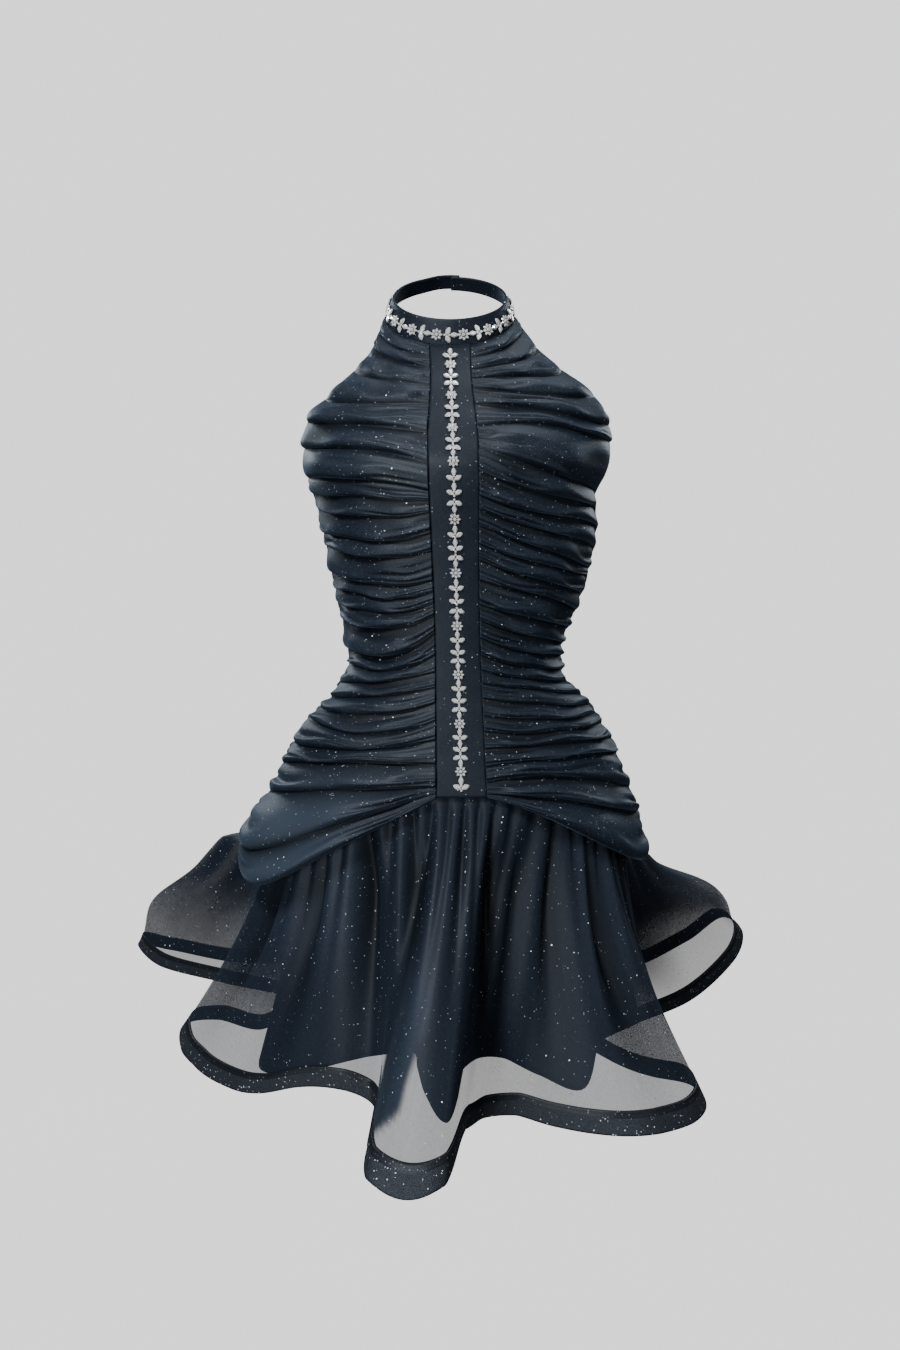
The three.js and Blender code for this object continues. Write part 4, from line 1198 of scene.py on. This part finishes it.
class DRESS_OT_fronts(bpy.types.Operator):
    """Adds the two gathered fronts with the hip drape"""

    bl_idname = "dress.add_fronts"
    bl_label = "Add gathered fronts"

    def execute(self, context):
        sizes = context.scene.dress_sizes
        tuck = 2
        # The last value of each front is how strongly painted light lightens its lowest folds.
        for side, name, rows, seed, drape in ((-1, "front_left", FOLDS_LEFT, 11, 0.9),
                                              (1, "front_right", FOLDS_RIGHT, 23, 0.1)):
            place = gathered(rows, sizes.fold_rows, FRONT_COLUMNS, 1.25, front_point(side),
                             front_ease, fold_habits(len(rows), seed), 0.19,
                             sizes.fold_depth, tuck, drape)
            count = (len(rows) - 1) * sizes.fold_rows + tuck
            mesh = grid_mesh(name + "_cloth", FRONT_COLUMNS, count, place)
            cloth = piece(name + "_cloth", mesh, ["glitter knit"], name,
                          wall=sizes.cloth_wall)
        return {"FINISHED"}


class DRESS_OT_back(bpy.types.Operator):
    """Adds the gathered back panel"""

    bl_idname = "dress.add_back"
    bl_label = "Add back panel"

    def execute(self, context):
        sizes = context.scene.dress_sizes
        habits = fold_habits(len(FOLDS_BACK), 37, side_share=1.0)
        place = gathered(FOLDS_BACK, sizes.fold_rows, BACK_COLUMNS, 1.0, back_point,
                         back_ease, habits, 0.36, sizes.fold_depth)
        count = (len(FOLDS_BACK) - 1) * sizes.fold_rows
        mesh = grid_mesh("back_panel_cloth", BACK_COLUMNS, count, place)
        cloth = piece("back_panel_cloth", mesh, ["glitter knit"], "back_panel",
                      wall=sizes.cloth_wall)
        return {"FINISHED"}


class DRESS_OT_skirt(bpy.types.Operator):
    """Adds the sheer skirt, the underskirt and the hem braid"""

    bl_idname = "dress.add_skirt"
    bl_label = "Add skirt"

    def execute(self, context):
        sizes = context.scene.dress_sizes
        # A stop of -1 is the edge that is sewn in. The mesh ends behind the
        # upper edge of the braid.
        end = 1 - (BRAID_WIDTH - 1.5) / SKIRT_LENGTH
        stops = np.concatenate([[-1], np.linspace(0, end, 56)])
        mesh = skirt_layer("skirt_mesh", 760, stops, 1, 2, 2.9, sizes.gather_depth, sheer=True)
        skirt = piece("skirt_mesh", mesh, ["sheer mesh"], "skirt",
                      wall=sizes.mesh_wall, offset=0.0)
        stops = np.concatenate([[-1], np.linspace(0, 1, 40)])
        mesh = skirt_layer("underskirt_cloth", 560, stops, 3, 4, 5.6, sizes.gather_depth)
        under = piece("underskirt_cloth", mesh, ["underskirt cloth"], "underskirt",
                      wall=0.8, offset=0.0)
        stops = np.linspace(1 - BRAID_WIDTH / SKIRT_LENGTH, 1, 11)
        mesh = skirt_layer("hem_braid_cloth", 900, stops, 1, 2, 2.9, 0.0)
        braid = piece("hem_braid_cloth", mesh, ["hem braid"], "hem_braid",
                      wall=sizes.braid_wall, offset=0.0)
        return {"FINISHED"}


class DRESS_OT_stage(bpy.types.Operator):
    """Adds the pale floor, the lights and the camera"""

    bl_idname = "dress.add_stage"
    bl_label = "Add stage"

    def execute(self, context):
        self.bowl()
        world = bpy.data.worlds.new("pale room")
        context.scene.world = world
        world.use_nodes = True
        background = world.node_tree.nodes["Background"]
        background.inputs[0].default_value = (0.85, 0.93, 1.0, 1)
        background.inputs[1].default_value = 0.04
        self.light("key", (-0.7, -1.6, 1.1), 0.5, 55)
        self.light("fill", (1.5, -1.6, 0.1), 1.3, 9)
        self.light("low left", (-0.9, -1.9, -0.7), 0.8, 25)
        self.light("top", (0.3, 0.1, 1.6), 1.0, 13)
        self.light("back left", (-1.3, 1.5, 0.7), 0.9, 14)
        self.light("back right", (1.4, 1.4, 0.7), 0.9, 12)
        self.camera(context)
        return {"FINISHED"}

    def bowl(self):
        """Floor and wall in one sweep, round the dress."""
        bm = bmesh.new()
        profile = [(0.0, -1.25), (1.8, -1.25), (2.5, -1.2), (2.9, -0.95), (3.05, -0.5), (3.1, 3.0)]
        verts = [bm.verts.new((x, 0, z)) for x, z in profile]
        edges = [bm.edges.new(pair) for pair in zip(verts, verts[1:])]
        bmesh.ops.spin(bm, geom=verts + edges, axis=(0, 0, 1), cent=(0, 0, 0), angle=2 * math.pi,
                       steps=64, use_merge=True)
        bmesh.ops.remove_doubles(bm, verts=bm.verts, dist=1e-5)
        mesh = outward_mesh("studio_floor", bm)
        shade(mesh, True)
        floor = bpy.data.objects.new("studio_floor", mesh)
        bpy.context.scene.collection.objects.link(floor)
        mesh.materials.append(plain_finish("pale floor", (0.645, 0.645, 0.645), 2.34))
        floor.visible_diffuse = False
        floor.visible_glossy = False
        floor.visible_shadow = False

    def light(self, name, place, size, power):
        lamp = bpy.data.lights.new(name, "AREA")
        lamp.shape = "DISK"
        lamp.size = size
        lamp.energy = power
        lamp.color = COOL_LIGHT
        obj = bpy.data.objects.new(name, lamp)
        obj.location = place
        aim = Vector((0, 0, -0.4)) - Vector(place)
        obj.rotation_euler = aim.to_track_quat("-Z", "Y").to_euler()
        obj.visible_camera = False
        bpy.context.scene.collection.objects.link(obj)

    def camera(self, context):
        sizes = context.scene.dress_sizes
        eye = bpy.data.cameras.new("camera")
        # The picture is 1350 pixels high, and the focal length is 1100 of them.
        eye.sensor_width = 36
        eye.lens = 36 * 1100 / 1350
        obj = bpy.data.objects.new("camera", eye)
        obj.location = (0, -sizes.camera_distance, sizes.camera_height)
        obj.rotation_euler = (math.pi / 2, 0, 0)
        context.scene.collection.objects.link(obj)
        context.scene.camera = obj


class DRESS_PT_panel(bpy.types.Panel):
    """Lists the dress's operators"""

    bl_idname = "DRESS_PT_panel"
    bl_label = "Halter mini dress"
    bl_space_type = "VIEW_3D"
    bl_region_type = "UI"
    bl_category = "Dress"

    def draw(self, context):
        for group in (context.scene.dress_sizes, context.scene.dress_colours):
            for key in group.__annotations__:
                self.layout.prop(group, key)
        for operator in OPERATORS:
            self.layout.operator(operator.bl_idname)


OPERATORS = (
    DRESS_OT_finishes, DRESS_OT_neckband, DRESS_OT_trims, DRESS_OT_centre_front,
    DRESS_OT_fronts, DRESS_OT_back, DRESS_OT_skirt, DRESS_OT_stage,
)
CLASSES = (DressColours, DressSizes, *OPERATORS, DRESS_PT_panel)


def register():
    for cls in CLASSES:
        bpy.utils.register_class(cls)
    bpy.types.Scene.dress_colours = bpy.props.PointerProperty(type=DressColours)
    bpy.types.Scene.dress_sizes = bpy.props.PointerProperty(type=DressSizes)


def unregister():
    del bpy.types.Scene.dress_sizes
    del bpy.types.Scene.dress_colours
    for cls in reversed(CLASSES):
        bpy.utils.unregister_class(cls)


def main():
    register()
    bpy.ops.dress.add_finishes()
    bpy.ops.dress.add_neckband()
    bpy.ops.dress.add_trims()
    bpy.ops.dress.add_centre_front()
    bpy.ops.dress.add_fronts()
    bpy.ops.dress.add_back()
    bpy.ops.dress.add_skirt()
    bpy.ops.dress.add_stage()


if __name__ == "__main__":
    main()
